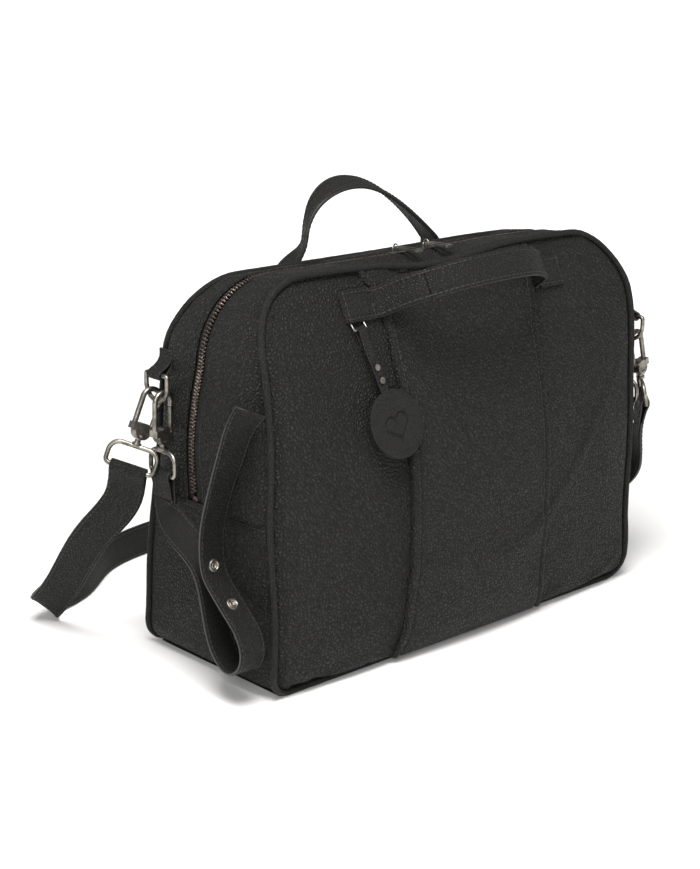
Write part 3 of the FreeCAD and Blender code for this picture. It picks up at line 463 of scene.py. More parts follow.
def row_tree():
    """Geometry nodes that set one item after another along lines, its Z along the lines' lift."""
    tree = bpy.data.node_groups.new("row_of_items", "GeometryNodeTree")
    for name, kind in (("Lines", "Geometry"), ("Spacing", "Float"), ("Item", "Object"),
                       ("Finish", "Material")):
        tree.interface.new_socket(name, in_out="INPUT", socket_type="NodeSocket" + kind)
    tree.interface.new_socket("Row", in_out="OUTPUT", socket_type="NodeSocketGeometry")
    new, link = tree.nodes.new, tree.links.new
    given, made = new("NodeGroupInput"), new("NodeGroupOutput")
    curve = new("GeometryNodeMeshToCurve")
    link(given.outputs["Lines"], curve.inputs["Mesh"])
    even = new("GeometryNodeResampleCurve")
    even.mode = "LENGTH"
    link(curve.outputs["Curve"], even.inputs["Curve"])
    link(given.outputs["Spacing"], even.inputs["Length"])
    lift = new("GeometryNodeInputNamedAttribute")
    lift.data_type = "FLOAT_VECTOR"
    lift.inputs["Name"].default_value = "lift"
    tangent = new("GeometryNodeInputTangent")
    forward = new("FunctionNodeAlignRotationToVector")
    forward.axis = "X"
    link(tangent.outputs["Tangent"], forward.inputs["Vector"])
    upright = new("FunctionNodeAlignRotationToVector")
    upright.axis = "Z"
    upright.pivot_axis = "X"
    link(forward.outputs["Rotation"], upright.inputs["Rotation"])
    link(lift.outputs["Attribute"], upright.inputs["Vector"])
    item = new("GeometryNodeObjectInfo")
    link(given.outputs["Item"], item.inputs["Object"])
    each = new("GeometryNodeInstanceOnPoints")
    link(even.outputs["Curve"], each.inputs["Points"])
    link(item.outputs["Geometry"], each.inputs["Instance"])
    link(upright.outputs["Rotation"], each.inputs["Rotation"])
    real = new("GeometryNodeRealizeInstances")
    link(each.outputs["Instances"], real.inputs["Geometry"])
    painted = new("GeometryNodeSetMaterial")
    link(real.outputs["Geometry"], painted.inputs["Geometry"])
    link(given.outputs["Finish"], painted.inputs["Material"])
    link(painted.outputs["Geometry"], made.inputs["Row"])
    return tree


ROW_TREE = row_tree()


def row_of(name, lines, item, spacing, material, body, cad=(), after=None):
    """Items along lines; each line is a pair: its points and the way the items' tops look."""
    points, lifts, edges = [], [], []
    for line, lift in lines:
        start = len(points)
        points += [tuple(p) for p in line]
        lifts += [tuple(v) for v in np.broadcast_to(np.asarray(lift, float), (len(line), 3))]
        edges += [(k, k + 1) for k in range(start, len(points) - 1)]
    mesh = bpy.data.meshes.new(name)
    mesh.from_pydata(points, edges, [])
    mesh.attributes.new("lift", "FLOAT_VECTOR", "POINT").data.foreach_set("vector", np.ravel(lifts))
    guide = bpy.data.objects.new(name + "_guide", mesh)
    model = bpy.data.objects.new(name + "_item", item)
    for made in (guide, model):
        bpy.context.scene.collection.objects.link(made)
    nodes = guide.modifiers.new("row", "NODES")
    nodes.node_group = ROW_TREE
    given = {s.name: s.identifier for s in ROW_TREE.interface.items_tree if s.in_out == "INPUT"}
    nodes[given["Spacing"]] = spacing
    nodes[given["Item"]] = model
    nodes[given["Finish"]] = material
    bpy.context.view_layer.update()
    shown = guide.evaluated_get(bpy.context.evaluated_depsgraph_get())
    row = bpy.data.objects.new(name, bpy.data.meshes.new_from_object(shown))
    bpy.context.scene.collection.objects.link(row)
    for used in (guide, model):
        bpy.data.objects.remove(used)
    if after:
        after(row)
    else:
        settle_on(row, body, cad)
    return row


thread = thread_material()
stitch = bead("stitch", STITCH * 0.82, THREAD_R, 0.8)


# ---- Centre panel -------------------------------------------------------------------
# A waisted second layer of the same leather over the middle of the front. Its long edges are
# folded under and topstitched 7 mm in, so it stands a little proud of the front panel.
CENTRE_SIDE = [(0, 82), (0.12, 75.5), (0.4, 74), (0.72, 76), (0.9, 80.5), (1, 89)]
CENTRE_LIFT = 3.0 * MM
HEM = 7 * MM


def centre_half(z):
    low, high = PIPING_R + SEAM_IN, TOP_Z - SEAM_IN
    return through(CENTRE_SIDE, (z - low) / (high - low)) * MM


centre_z = np.linspace(PIPING_R + SEAM_IN, TOP_Z - SEAM_IN, 90)
centre_in = np.concatenate([[0, 0.25, 0.7, 1.3, 2.2, 3.6, 5.4, 6.4, 7.0, 7.6, 9.0, 12.0],
                            np.linspace(16, 74, 22)]) * MM
centre_grid = []
for z in centre_z:
    half = float(centre_half(z))
    ends_in = min(z - centre_z[0], centre_z[-1] - z)
    row = []
    for side in (-1, 1):
        inward = centre_in[centre_in < half - 4 * MM]
        inward = np.interp(np.linspace(0, 1, 34), np.linspace(0, 1, len(inward)), inward)
        steps = inward if side < 0 else inward[::-1]
        for d in steps:
            lift = CENTRE_LIFT * (0.12 + 0.88 * math.sqrt(min(1.0, d / (1.3 * MM))))
            lift += 0.6 * MM * math.exp(-((d - 3.4 * MM) / (2.2 * MM)) ** 2)
            lift -= 1.0 * MM * math.exp(-((d - HEM) / (1.1 * MM)) ** 2)
            lift *= float(step(ends_in, -2 * MM, 4 * MM))
            row.append(on_front(side * (half - d), z, lift + 0.15 * MM)[0])
    centre_grid.append(row)
centre_grid = np.array(centre_grid)
centre_leather = leather("centre_leather", 2.6 * MM, 0.48 * MM, 0.44)
sheet("centre_leather_panel", centre_grid, (0, -1, 0), centre_leather, cad=("front_center_panel",))
hem_lines = []
for side in (-1, 1):
    line = [on_front(side * (float(centre_half(z)) - HEM), z, CENTRE_LIFT - 0.7 * MM) for z in centre_z[2:-2]]
    hem_lines.append(([p for p, _ in line], [n for _, n in line]))
row_of("centre_stitches", hem_lines, stitch, STITCH, thread, "bag")

# ---- Back panel ---------------------------------------------------------------------
# The same leather, flatter than the front, leaning forward toward the top.
BACK_EDGE = [(0.0, 0.985), (0.03, 1.0), (0.2, 0.93), (0.35, 0.84), (0.48, 0.765), (0.61, 0.685),
             (0.74, 0.6), (0.85, 0.52), (0.93, 0.41), (1.0, 0.30)]


def back_edge(z):
    return through(BACK_EDGE, z / BACK_TOP_Z) * HALF_DEPTH


def back_face(x, z):
    rise = np.sin(math.pi * np.clip(z / BACK_TOP_Z, 0, 1))
    y = back_edge(z) + PILLOW * 0.4 * np.clip(1 - (x / HALF) ** 2, 0, 1) * rise
    low = PIPING_R + SEAM_IN
    half = outline_half(z, low, BACK_TOP_Z - SEAM_IN, HALF - SEAM_IN, FOOT_R - SEAM_IN, CORNER_R - SEAM_IN)
    inside = np.minimum(np.minimum(half - np.abs(x), BACK_TOP_Z - SEAM_IN - z), z - low)
    y = y - 1.7 * MM * (1 - step(inside, 0, 7 * MM)) + stuffed(inside) * 0.6
    return slump(np.stack([x, y, z], -1))


back_leather = leather("back_leather", 2.7 * MM, 0.5 * MM, 0.47)
back_grid = panel_grid(back_face, PIPING_R + SEAM_IN, BACK_TOP_Z - SEAM_IN, 50, 81)
back_hung = hung_panel("back", back_grid, (0, 1, 0), back_leather, 2.5 * MM, 0.6)


def on_back(x, z, off=0.0):
    return on_panel(back_hung, back_face, 1, x, z, off)


# ---- Piping -------------------------------------------------------------------------
# A cord wrapped in a bias strip of the leather, caught in the seam round each large panel.
# The wrap puckers a little where it goes round a corner.
def rounded_path(high, depth, lift):
    """Closed path round a panel's edge and the way it looks outward, from the base's middle."""
    bend, corner = HALF - FOOT_R, HALF - CORNER_R
    quarter = np.linspace(0, math.pi / 2, 13)
    x = np.concatenate([np.linspace(0, bend, 30)[:-1], bend + FOOT_R * np.sin(quarter),
                        np.full(40, HALF)[1:-1], corner + CORNER_R * np.cos(quarter),
                        np.linspace(corner, 0, 30)[1:]])
    z = np.concatenate([np.full(29, PIPING_R), PIPING_R + FOOT_R * (1 - np.cos(quarter)),
                        np.linspace(PIPING_R + FOOT_R, high - CORNER_R, 40)[1:-1],
                        high - CORNER_R + CORNER_R * np.sin(quarter), np.full(29, high)])
    look = np.concatenate([np.tile([0, -1], (29, 1)), np.stack([np.sin(quarter), -np.cos(quarter)], 1),
                           np.tile([1, 0], (38, 1)), np.stack([np.cos(quarter), np.sin(quarter)], 1),
                           np.tile([0, 1], (29, 1))]).astype(float)
    half = np.stack([x, depth(z) + lift, z], 1)
    out = np.stack([look[:, 0], np.zeros(len(x)), look[:, 1]], 1)
    mirror = np.array([-1, 1, 1])
    other_half, other_out = (half * mirror)[::-1][1:-1], (out * mirror)[::-1][1:-1]
    return np.concatenate([half, other_half]), np.concatenate([out, other_out])


piping_leather = leather("piping_leather", 1.5 * MM, 0.2 * MM, 0.42)
for label, high, depth, lift in (("front", TOP_Z, front_edge, -0.4 * MM),
                                 ("back", BACK_TOP_Z, back_edge, 0.4 * MM)):
    path, out = rounded_path(high, depth, lift)
    path = slump(path)
    tangent = np.roll(path, -1, 0) - np.roll(path, 1, 0)
    tangent /= np.linalg.norm(tangent, axis=1, keepdims=True)
    out = out - tangent * (out * tangent).sum(1, keepdims=True)
    out /= np.linalg.norm(out, axis=1, keepdims=True)
    across = np.cross(tangent, out)
    angle = np.linspace(0, 2 * math.pi, 17)
    pucker = 1 + 0.035 * np.sin(np.arange(len(path)) * 1.9) * np.sin(np.arange(len(path)) * 0.37)
    ring = (path[:, None] + PIPING_R * pucker[:, None, None]
            * (out[:, None] * np.cos(angle)[None, :, None] + across[:, None] * np.sin(angle)[None, :, None]))
    sheet(label + "_piping_cord", ring, ring - path[:, None], piping_leather, cad=(label + "_piping",),
          closed=True)


# ---- Zip gusset ---------------------------------------------------------------------
# Two strips run from seam to seam over the top, one each side of the zip. The edges beside the
# zip are folded and topstitched; the strips slump a little between the piping and the zip.
SEAM_Z = 130 * MM
TAPE_HALF = 6.5 * MM
ZIP_LINE = [(0.0, 0.07), (0.48, 0.07), (0.61, 0.085), (0.71, 0.03), (0.81, -0.09), (0.9, -0.12),
            (1.0, -0.125)]


def rim(turn, high, depth):
    """Points on the piping's line from the left seam (0) over the top to the right seam (5)."""
    turn = np.asarray(turn, float)
    k = np.clip(turn.astype(int), 0, 4)
    t = turn - k
    up = np.where(k == 0, t, 1 - t)
    bend = HALF - CORNER_R
    angle = math.pi / 2 * np.where(k == 1, t, 1 - t)
    side, corner = (k == 0) | (k == 4), (k == 1) | (k == 3)
    x = np.where(side, HALF, np.where(corner, bend + CORNER_R * np.cos(angle), bend * np.abs(2 * t - 1)))
    z = np.where(side, SEAM_Z + (high - CORNER_R - SEAM_Z) * up,
                 np.where(corner, high - CORNER_R + CORNER_R * np.sin(angle), high))
    return np.stack([np.where(turn < 2.5, -x, x), depth(z), z], -1)


def rim_out(turn):
    turn = np.asarray(turn, float)
    angle = np.interp(turn, [0, 1, 2, 3, 4, 5], [math.pi, math.pi, math.pi / 2, math.pi / 2, 0, 0])
    return np.stack([np.cos(angle), np.zeros_like(angle), np.sin(angle)], -1)


def gusset(turn, share, beyond, out):
    """Point of the gusset: share of the way from the front edge to the back, and metres beyond."""
    front, back = rim(turn, TOP_Z, front_edge), rim(turn, BACK_TOP_Z, back_edge)
    run = back - front
    span = np.linalg.norm(run, axis=-1)
    share = share + beyond / span
    look = rim_out(turn)
    crown = 3 * MM * np.sin(math.pi * np.clip(share, 0, 1)) * (1 - np.abs(look[..., 2]))
    return slump(front + run * share[..., None] + look * (out + crown)[..., None])


def zip_share(turn):
    front, back = rim(turn, TOP_Z, front_edge), rim(turn, BACK_TOP_Z, back_edge)
    line = through(ZIP_LINE, front[..., 2] / TOP_Z) * HALF_DEPTH
    return (line - front[..., 1]) / (back[..., 1] - front[..., 1])


def gusset_span(turn):
    return np.linalg.norm(rim(turn, BACK_TOP_Z, back_edge) - rim(turn, TOP_Z, front_edge), axis=-1)


stations = np.concatenate([np.linspace(0, 1, 34)[:-1], np.linspace(1, 2, 30)[:-1],
                           np.linspace(2, 3, 70)[:-1], np.linspace(3, 4, 30)[:-1], np.linspace(4, 5, 34)])
gusset_leather = leather("gusset_leather", 2.7 * MM, 0.5 * MM, 0.44)
shares = np.concatenate([[0, 0.01, 0.025, 0.05, 0.09, 0.14], np.linspace(0.2, 0.74, 10),
                         [0.8, 0.84, 0.87, 0.9, 0.93, 0.96, 0.98, 0.992, 1.0]])
for label, sign in (("front", 1), ("back", -1)):
    grid_turn, grid_share = np.meshgrid(stations, shares, indexing="ij")
    span = gusset_span(grid_turn)
    zip_at = zip_share(grid_turn)
    if sign > 0:
        near, far = SEAM_IN / span, zip_at - TAPE_HALF / span
    else:
        near, far = 1 - SEAM_IN / span, zip_at + TAPE_HALF / span
    width = np.abs(far - near) * span
    from_seam, from_zip = grid_share * width, (1 - grid_share) * width
    puff = np.sin(math.pi * grid_share)
    level = 1.0 * MM - 2.0 * MM * (1 - step(from_seam, -1 * MM, 6 * MM)) + 0.5 * stuffed(from_seam)
    level -= 1.1 * MM * (1 - step(from_zip, 0, 1.2 * MM))
    level -= 0.5 * MM * np.exp(-((from_zip - 3.2 * MM) / (0.8 * MM)) ** 2)
    flat_top = np.abs(rim_out(grid_turn)[..., 2])
    length = grid_turn * 9.0
    wave = np.sin(length * 1.7 + sign) * np.sin(length * 0.61 + 2.1 * sign) + 0.4 * np.sin(length * 4.3)
    level += puff * (1.8 * MM * (1 - flat_top) + flat_top * (1.3 * wave - 1.2) * MM)
    grid = gusset(grid_turn, near + (far - near) * grid_share, 0.0, level)
    look = rim_out(grid_turn)
    sheet(label + "_gusset_leather", grid, look, gusset_leather, thick=LEATHER_T * 0.7,
          cad=("zip_gusset_" + label,))
    rail_turn = stations[1:-1]
    span = gusset_span(rail_turn)
    rail = gusset(rail_turn, zip_share(rail_turn), -sign * (TAPE_HALF + 3.2 * MM), 0.75 * MM)
    row_of(label + "_gusset_stitches", [(rail, rim_out(rail_turn))], stitch, STITCH, thread, "bag")

# ---- Zip ----------------------------------------------------------------------------
# A metal zip with antique copper teeth on black woven tape. Each tooth is clamped on the tape's
# edge, and the two rows mesh head to head.
TOOTH_PITCH = 2.7 * MM
TEETH_HALF = 3.2 * MM
ZIP_END_Z = 138 * MM


def woven(name, pale, dark, size):
    f = Finish(name, Specular_IOR_Level=0.25)
    where = f.place()
    one, two = (f.node("ShaderNodeTexWave", {"bands_direction": direction},
                       {"Vector": where, "Scale": pitch / size, "Distortion": 0.6}, out=1)
                for direction, pitch in (("X", 0.5), ("DIAGONAL", 0.4)))
    weave = one * 0.5 + two * 0.5
    return f.shade(Base_Color=f.mix(weave, dark, pale), Roughness=weave * 0.1 + 0.8,
                   Normal=f.relief(weave, 0.15 * MM))


tape_fabric = woven("zip_tape_weave", (0.016, 0.015, 0.015, 1), (0.004, 0.004, 0.004, 1), 1.0 * MM)
low_turn = (ZIP_END_Z - SEAM_Z) / (TOP_Z - CORNER_R - SEAM_Z)
for label, sign in (("front", -1), ("back", 1)):
    beyond = np.linspace(TEETH_HALF * 0.4, TAPE_HALF + 1.0 * MM, 5)
    grid = np.stack([gusset(stations, zip_share(stations), sign * b, -0.5 * MM) for b in beyond], 1)
    sheet(label + "_zip_tape", grid, rim_out(stations)[:, None], tape_fabric, thick=0.6 * MM,
          cad=("zip_tape_" + label,))


def copper():
    f = Finish("antique_copper", Metallic=1.0)
    where = f.place()
    worn = f.ramp(f.noise(where, 700.0, 3.0), 0.35, 0.7)
    colour = f.mix(worn, (0.07, 0.055, 0.048, 1), (0.3, 0.24, 0.21, 1))
    return f.shade(Base_Color=colour, Roughness=0.55 - worn * 0.2, Normal=f.relief(worn, 0.05 * MM))


def tooth_mesh(sign):
    """One tooth: a body clamped on the tape and a narrower head with a domed end."""
    profile = [(2.8, 0.56, 1.0), (2.5, 0.66, 1.15), (1.4, 0.6, 1.1), (0.6, 0.46, 0.95), (-0.15, 0.5, 0.95),
               (-0.75, 0.36, 0.55)]
    points, faces = [], []
    for across, wide, tall in profile:
        for dx, dz in ((-1, -1), (-1, 0.6), (-0.5, 1), (0.5, 1), (1, 0.6), (1, -1)):
            points.append((dx * wide * MM, sign * across * MM, dz * tall * MM))
    for i in range(len(profile) - 1):
        for k in range(6):
            m = (k + 1) % 6
            face = (i * 6 + k, i * 6 + m, (i + 1) * 6 + m, (i + 1) * 6 + k)
            faces.append(face if sign < 0 else face[::-1])
    caps = [tuple(range(6)), tuple(30 + k for k in reversed(range(6)))]
    faces += [c[::-1] if sign < 0 else c for c in caps]
    mesh = bpy.data.meshes.new("tooth")
    mesh.from_pydata(points, [], faces)
    return mesh


tooth_metal = copper()
fine_turn = np.linspace(low_turn, 5 - low_turn, 900)
tooth_line = gusset(fine_turn, zip_share(fine_turn), 0.0, 0.35 * MM)
for label, sign in (("front", -1), ("back", 1)):
    reach = np.concatenate([[0], np.cumsum(np.linalg.norm(np.diff(tooth_line, axis=0), axis=1))])
    start = 0.0 if sign < 0 else TOOTH_PITCH / 2
    kept = reach >= start
    line = tooth_line[kept]
    look = rim_out(fine_turn)[kept]
    row_of(label + "_zip_teeth", [(line, look)], tooth_mesh(-sign), TOOTH_PITCH, tooth_metal, "bag",
           ("zip_teeth_" + label,))


# ---- Lower gussets ------------------------------------------------------------------
# One piece of leather at each end, from the seam below the zip down round the foot. Its upper
# edge is folded and topstitched over the zip's end.
lower_leather = leather("end_leather", 2.7 * MM, 0.5 * MM, 0.44)
for side, label in ((-1, "left"), (1, "right")):
    rows = []
    top = SEAM_Z + 1.0 * MM
    low = PIPING_R + FOOT_R
    down = np.concatenate([np.array([0, 0.3, 0.8, 1.5, 2.5, 3.5, 5, 8]) * MM,
                           np.linspace(14 * MM, top - low, 26)])
    turns = np.linspace(0, math.pi / 2, 9)[1:]
    for d in down:
        z = top - d
        proud = 1.0 * MM + 1.6 * MM * (1 - step(d, 4 * MM, 30 * MM)) * step(d, -0.4 * MM, 1.2 * MM)
        proud -= 0.5 * MM * math.exp(-((d - 3.5 * MM) / (0.9 * MM)) ** 2)
        rows.append((HALF + proud, z, z))
    for a in turns:
        r = FOOT_R + 1.0 * MM
        rows.append((HALF - FOOT_R + r * math.cos(a), low - r * math.sin(a), low - r * math.sin(a)))
    grid = []
    for x, z, height in rows:
        y0 = float(front_edge(np.array(height))) + SEAM_IN
        y1 = float(back_edge(np.array(height))) - SEAM_IN
        t = np.linspace(0, 1, 33)
        edge_in = np.minimum(t, 1 - t) * (y1 - y0)
        crown = 3 * MM * np.sin(math.pi * t) * min(1.0, max(height, 0) / (60 * MM))
        roll = 1.8 * MM * (1 - step(edge_in, 0, 6 * MM))
        ripple = 0.5 * MM * np.sin(height / (13 * MM) + t * 5) * np.sin(math.pi * t)
        grid.append(np.stack([side * (x + crown - roll + ripple), y0 + (y1 - y0) * t, np.full(33, z)], 1))
    grid = slump(np.array(grid))
    look = np.zeros_like(grid)
    look[..., 0] = side
    look[-8:, :, 2] = -1
    sheet(label + "_end_leather", grid, look, lower_leather, thick=LEATHER_T * 0.6, cad=(label + "_gusset",))
    y = np.linspace(float(front_edge(SEAM_Z)) + 5 * MM, float(back_edge(SEAM_Z)) - 5 * MM, 30)
    t = (y - y[0]) / (y[-1] - y[0])
    row = np.stack([side * (HALF + 2.3 * MM + 3 * MM * np.sin(math.pi * (0.05 + 0.9 * t))), y,
                    np.full(30, SEAM_Z - 2.5 * MM)], 1)
    row_of(label + "_end_stitches", [(slump(row), (side, 0, 0))], stitch, STITCH, thread, "bag")

# ---- Base ---------------------------------------------------------------------------
# A stiff board inside a leather cover, flat on the ground.
low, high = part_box("base_panel")
base_leather = leather("base_leather", 2.2 * MM, 0.3 * MM, 0.55)
u, v = np.meshgrid(np.linspace(-1, 1, 41), np.linspace(-1, 1, 21), indexing="ij")
soft = np.maximum(np.abs(u), np.abs(v))
base_z = np.where(soft > 0.985, 1.6 * MM, 0.35 * MM + 0.25 * MM * np.sin(u * 9) * np.sin(v * 5))
base_grid = np.stack([(low.x + high.x) / 2 + u * (high.x - low.x + 3 * MM) / 2,
                      (low.y + high.y) / 2 + v * (high.y - low.y + 4 * MM) / 2,
                      np.maximum(base_z, 0.05 * MM)], -1)
sheet("base_leather_cover", base_grid, (0, 0, -1), base_leather, thick=-2.0 * MM, cad=("base_panel",))
board_finish = Finish("base_board_fibre", Roughness=0.85)
board_speck = board_finish.noise(board_finish.place(), 400.0, 4.0)
board_finish.shade(Base_Color=board_finish.mix(board_speck, (0.09, 0.07, 0.05, 1), (0.16, 0.13, 0.1, 1)),
                   Normal=board_finish.relief(board_speck, 0.1 * MM))


def dress(node, material):
    """A node that keeps its own shape gets this finish."""
    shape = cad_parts[node]
    shape.data.materials.clear()
    shape.data.materials.append(material)


dress("base_board", board_finish.material)

# ---- Lining -------------------------------------------------------------------------
# Pale grey woven cotton inside, with a slip pocket on each large side.
lining_cloth = woven("lining_weave", (0.34, 0.32, 0.29, 1), (0.2, 0.19, 0.17, 1), 0.8 * MM)
for node in ("lining", "front_inner_pocket", "back_inner_pocket"):
    dress(node, lining_cloth)


# ---- Front handle -------------------------------------------------------------------
# A folded and stitched leather strap. Each end lies flat on the panel in a sewn tab and turns
# outward into the bow.
def spline(points, stations):
    """Natural cubic curve through points, evenly sampled; points may have any number of columns."""
    points = np.asarray(points, float)
    gap = np.linalg.norm(np.diff(points[:, :3], axis=0), axis=1)
    at = np.concatenate([[0], np.cumsum(gap)])
    n = len(at)
    system = np.zeros((n, n))
    right = np.zeros((n, points.shape[1]))
    system[0, 0] = system[-1, -1] = 1
    for k in range(1, n - 1):
        system[k, k - 1:k + 2] = gap[k - 1], 2 * (gap[k - 1] + gap[k]), gap[k]
        right[k] = 6 * ((points[k + 1] - points[k]) / gap[k] - (points[k] - points[k - 1]) / gap[k - 1])
    bend = np.linalg.solve(system, right)
    t = np.linspace(0, at[-1], stations)
    k = np.clip(np.searchsorted(at, t, side="right") - 1, 0, n - 2)
    h = gap[k][:, None]
    a = ((at[k + 1] - t) / gap[k])[:, None]
    b = 1 - a
    return (a * points[k] + b * points[k + 1]
            + ((a**3 - a) * bend[k] + (b**3 - b) * bend[k + 1]) * h**2 / 6)


def strap_frames(points, sides, stations):
    """Centres, width directions and face directions along a strap; sizes in millimetres."""
    both = spline(np.hstack([np.asarray(points, float) * MM, np.asarray(sides, float)]), stations)
    centre, side = both[:, :3], both[:, 3:]
    along = np.gradient(centre, axis=0)
    along /= np.linalg.norm(along, axis=1, keepdims=True)
    side = side - along * (side * along).sum(1, keepdims=True)
    side /= np.linalg.norm(side, axis=1, keepdims=True)
    return centre, side, np.cross(along, side)


SECTION = [(-1, -0.35), (-0.985, -0.8), (-0.9, -1.0), (-0.8, -0.97), (0, -1.06), (0.8, -0.97), (0.9, -1.0),
           (0.985, -0.8), (1, -0.35), (1, 0.35), (0.985, 0.8), (0.9, 1.0), (0.8, 0.97), (0, 1.06), (-0.8, 0.97),
           (-0.9, 1.0), (-0.985, 0.8), (-1, 0.35), (-1, -0.35)]


def strap(name, frames, width, thick, first=0, last=None, body=None, cad=(), after=None, capped=True,
          upper=1):
    """A flat strap with rounded, painted edges. It rides on body and stands for the nodes in cad,
    unless after says otherwise."""
    centre, side, lift = (f[first:last] for f in frames)
    section = np.array(SECTION)
    ring = (centre[:, None] + side[:, None] * section[None, :, :1] * width / 2
            + lift[:, None] * section[None, :, 1:] * thick / 2)
    rows, columns = ring.shape[:2]
    if capped:
        ring = np.concatenate([ring[:1] * 0.02 + centre[:1, None] * 0.98, ring,
                               ring[-1:] * 0.02 + centre[-1:, None] * 0.98])
        rows += 2
    piece = sheet(name, ring, ring - ring.mean(1, keepdims=True), STRAP_FINISH[0], body=None)
    for extra in STRAP_FINISH[1:]:
        piece.data.materials.append(extra)
    kinds = []
    for k in range(columns - 1):
        height = section[k:k + 2, 1].mean() * upper
        kinds.append(2 if abs(height) < 0.9 else (0 if height > 0 else 1))
    piece.data.polygons.foreach_set("material_index", kinds * (rows - 1))
    if after:
        after(piece)
    else:
        settle_on(piece, body, cad)
    return piece


def strap_rows(frames, width, thick, inset, first=0, last=None, faces=(1, -1), across=(-1, 1)):
    """Lines for the stitches along both edges of a strap, on its upper and lower face."""
    centre, side, lift = (f[first:last] for f in frames)
    lines = []
    for face in faces:
        for edge in across:
            rail = centre + side * edge * (width / 2 - inset) + lift * face * (thick / 2 + 0.1 * MM)
            lines.append((rail, lift * face))
    return lines


strap_leather = leather("strap_leather", 2.0 * MM, 0.3 * MM, 0.44)
strap_back = leather("strap_back_leather", 0.9 * MM, 0.08 * MM, 0.52, tone=0.8)
edge_finish = Finish("edge_paint", Roughness=0.4, Specular_IOR_Level=0.4)
edge_speck = edge_finish.noise(edge_finish.place(), 900.0, 3.0)
edge_paint = edge_finish.shade(
    Base_Color=edge_finish.mix(edge_speck, (0.011, 0.0105, 0.01, 1), (0.03, 0.028, 0.026, 1)),
    Normal=edge_finish.relief(edge_speck, 0.12 * MM))
STRAP_FINISH = (strap_leather, strap_back, edge_paint)      # outer face, inner face, edges
HANDLE_HEM = 2.4 * MM
HANDLE_W, HANDLE_T = 22 * MM, 3.0 * MM

front_points = [(-87.6, -62.4, 270.5), (-83.6, -63.1, 270.5), (-76.0, -69.7, 274.1), (-61.8, -87.0, 282.9),
                (-54.6, -91.2, 285.0), (-34.0, -100.9, 290.0), (0.0, -107.1, 293.2), (36.0, -103.5, 291.3),
                (58.8, -91.5, 285.2), (65.6, -86.8, 282.8), (77.0, -69.7, 274.1), (83.6, -63.0, 270.5),
                (87.6, -62.4, 270.5)]
flat, wide = (0, 0.35, 0.94), (0, 0.45, 0.89)
front_sides = [flat, flat, wide, wide, wide, wide, wide, wide, wide, wide, wide, flat, flat]
front_frames = strap_frames(front_points, front_sides, 150)


def handle(label, frames, grip):
    """Bow and two ends; grip is the first and last station of the bow."""
    body = label + "_handle"
    first, last = grip
    total = len(frames[0])
    strap(label + "_handle_bow", frames, HANDLE_W, HANDLE_T, first, last + 1, body, (body,), capped=False)
    row_of(label + "_handle_stitches", strap_rows(frames, HANDLE_W, HANDLE_T, HANDLE_HEM, first, last + 1),
           stitch, STITCH, thread, body)
    for side, a, b, start, end in (("left", 0, first + 2, 0, first), ("right", last - 1, total, -1, last)):
        name = "%s_handle_%s_end" % (label, side)

        def bend(piece):
            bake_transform(piece)
        end_piece = strap(name, frames, HANDLE_W, HANDLE_T, a, b, after=bend, capped=False)
        if side == "left":
            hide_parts(body + "_ends")
        row_of(name + "_stitches", strap_rows(frames, HANDLE_W, HANDLE_T, HANDLE_HEM, a, b),
               stitch, STITCH, thread, body, after=lambda row: (bend(row), row))


def station_at(frames, x):
    return int(np.argmin(np.abs(frames[0][:, 0] - x * MM)))


handle("front", front_frames, (station_at(front_frames, -58), station_at(front_frames, 62)))


# ---- Handle tabs --------------------------------------------------------------------
# The flat last 26 mm of each handle strap, sewn to the panel with a box of stitches.
TAB_FREE, TAB_LEAVES, TAB_HEM = 114 * MM, 87 * MM, 2.6 * MM


def sewn_tab(name, surface, x0, x1, z, cad):
    """Flat strap end on a panel, from x0 (free end) to x1 (where the handle leaves)."""
    count = 22
    x = np.linspace(x0, x1, count)
    inset = np.minimum(np.abs(x - x0), 3 * MM) / (3 * MM)
    high = (HANDLE_W / 2) * (0.9 + 0.1 * np.sqrt(inset))
    up = np.array([-1, -0.985, -0.94, -0.86, -0.78, -0.72, -0.4, 0, 0.4, 0.72, 0.78, 0.86, 0.94, 0.985, 1])
    grid = []
    for k in range(count):
        row = []
        for share in up:
            edge = (1 - abs(share)) * HANDLE_W / 2
            edge = min(edge, abs(x[k] - x0))
            lift = HANDLE_T * (0.15 + 0.85 * math.sqrt(min(1, edge / (1.1 * MM))))
            lift -= 0.45 * MM * math.exp(-((edge - TAB_HEM) / (0.7 * MM)) ** 2)
            row.append(surface(float(x[k]), float(z + share * high[k]), lift + 0.3 * MM)[0])
        grid.append(row)
    grid = np.array(grid)
    _, normal = surface(float(x.mean()), z)
    sheet(name, grid, normal, strap_leather, cad=cad)
    inner = HANDLE_W / 2 - TAB_HEM
    free_end = x0 + (TAB_HEM if x1 > x0 else -TAB_HEM)
    corner = [(free_end, -inner), (x1, -inner), (x1, inner), (free_end, inner), (free_end, -inner)]
    lines = []
    for (xa, za), (xb, zb) in zip(corner, corner[1:]):
        line = [surface(xa + (xb - xa) * t, z + za + (zb - za) * t, HANDLE_T + 0.25 * MM)
                for t in np.linspace(0, 1, 8)]
        lines.append(([p for p, _ in line], [n for _, n in line]))
    row_of(name + "_stitches", lines, stitch, STITCH * 0.9, thread, "bag")


for label, surface, z in (("front", on_front, 270 * MM), ("back", on_back, 262 * MM)):
    sewn_tab(label + "_left_tab", surface, -TAB_FREE, -TAB_LEAVES, z, (label + "_handle_tabs",))
    sewn_tab(label + "_right_tab", surface, TAB_FREE, TAB_LEAVES, z, ())

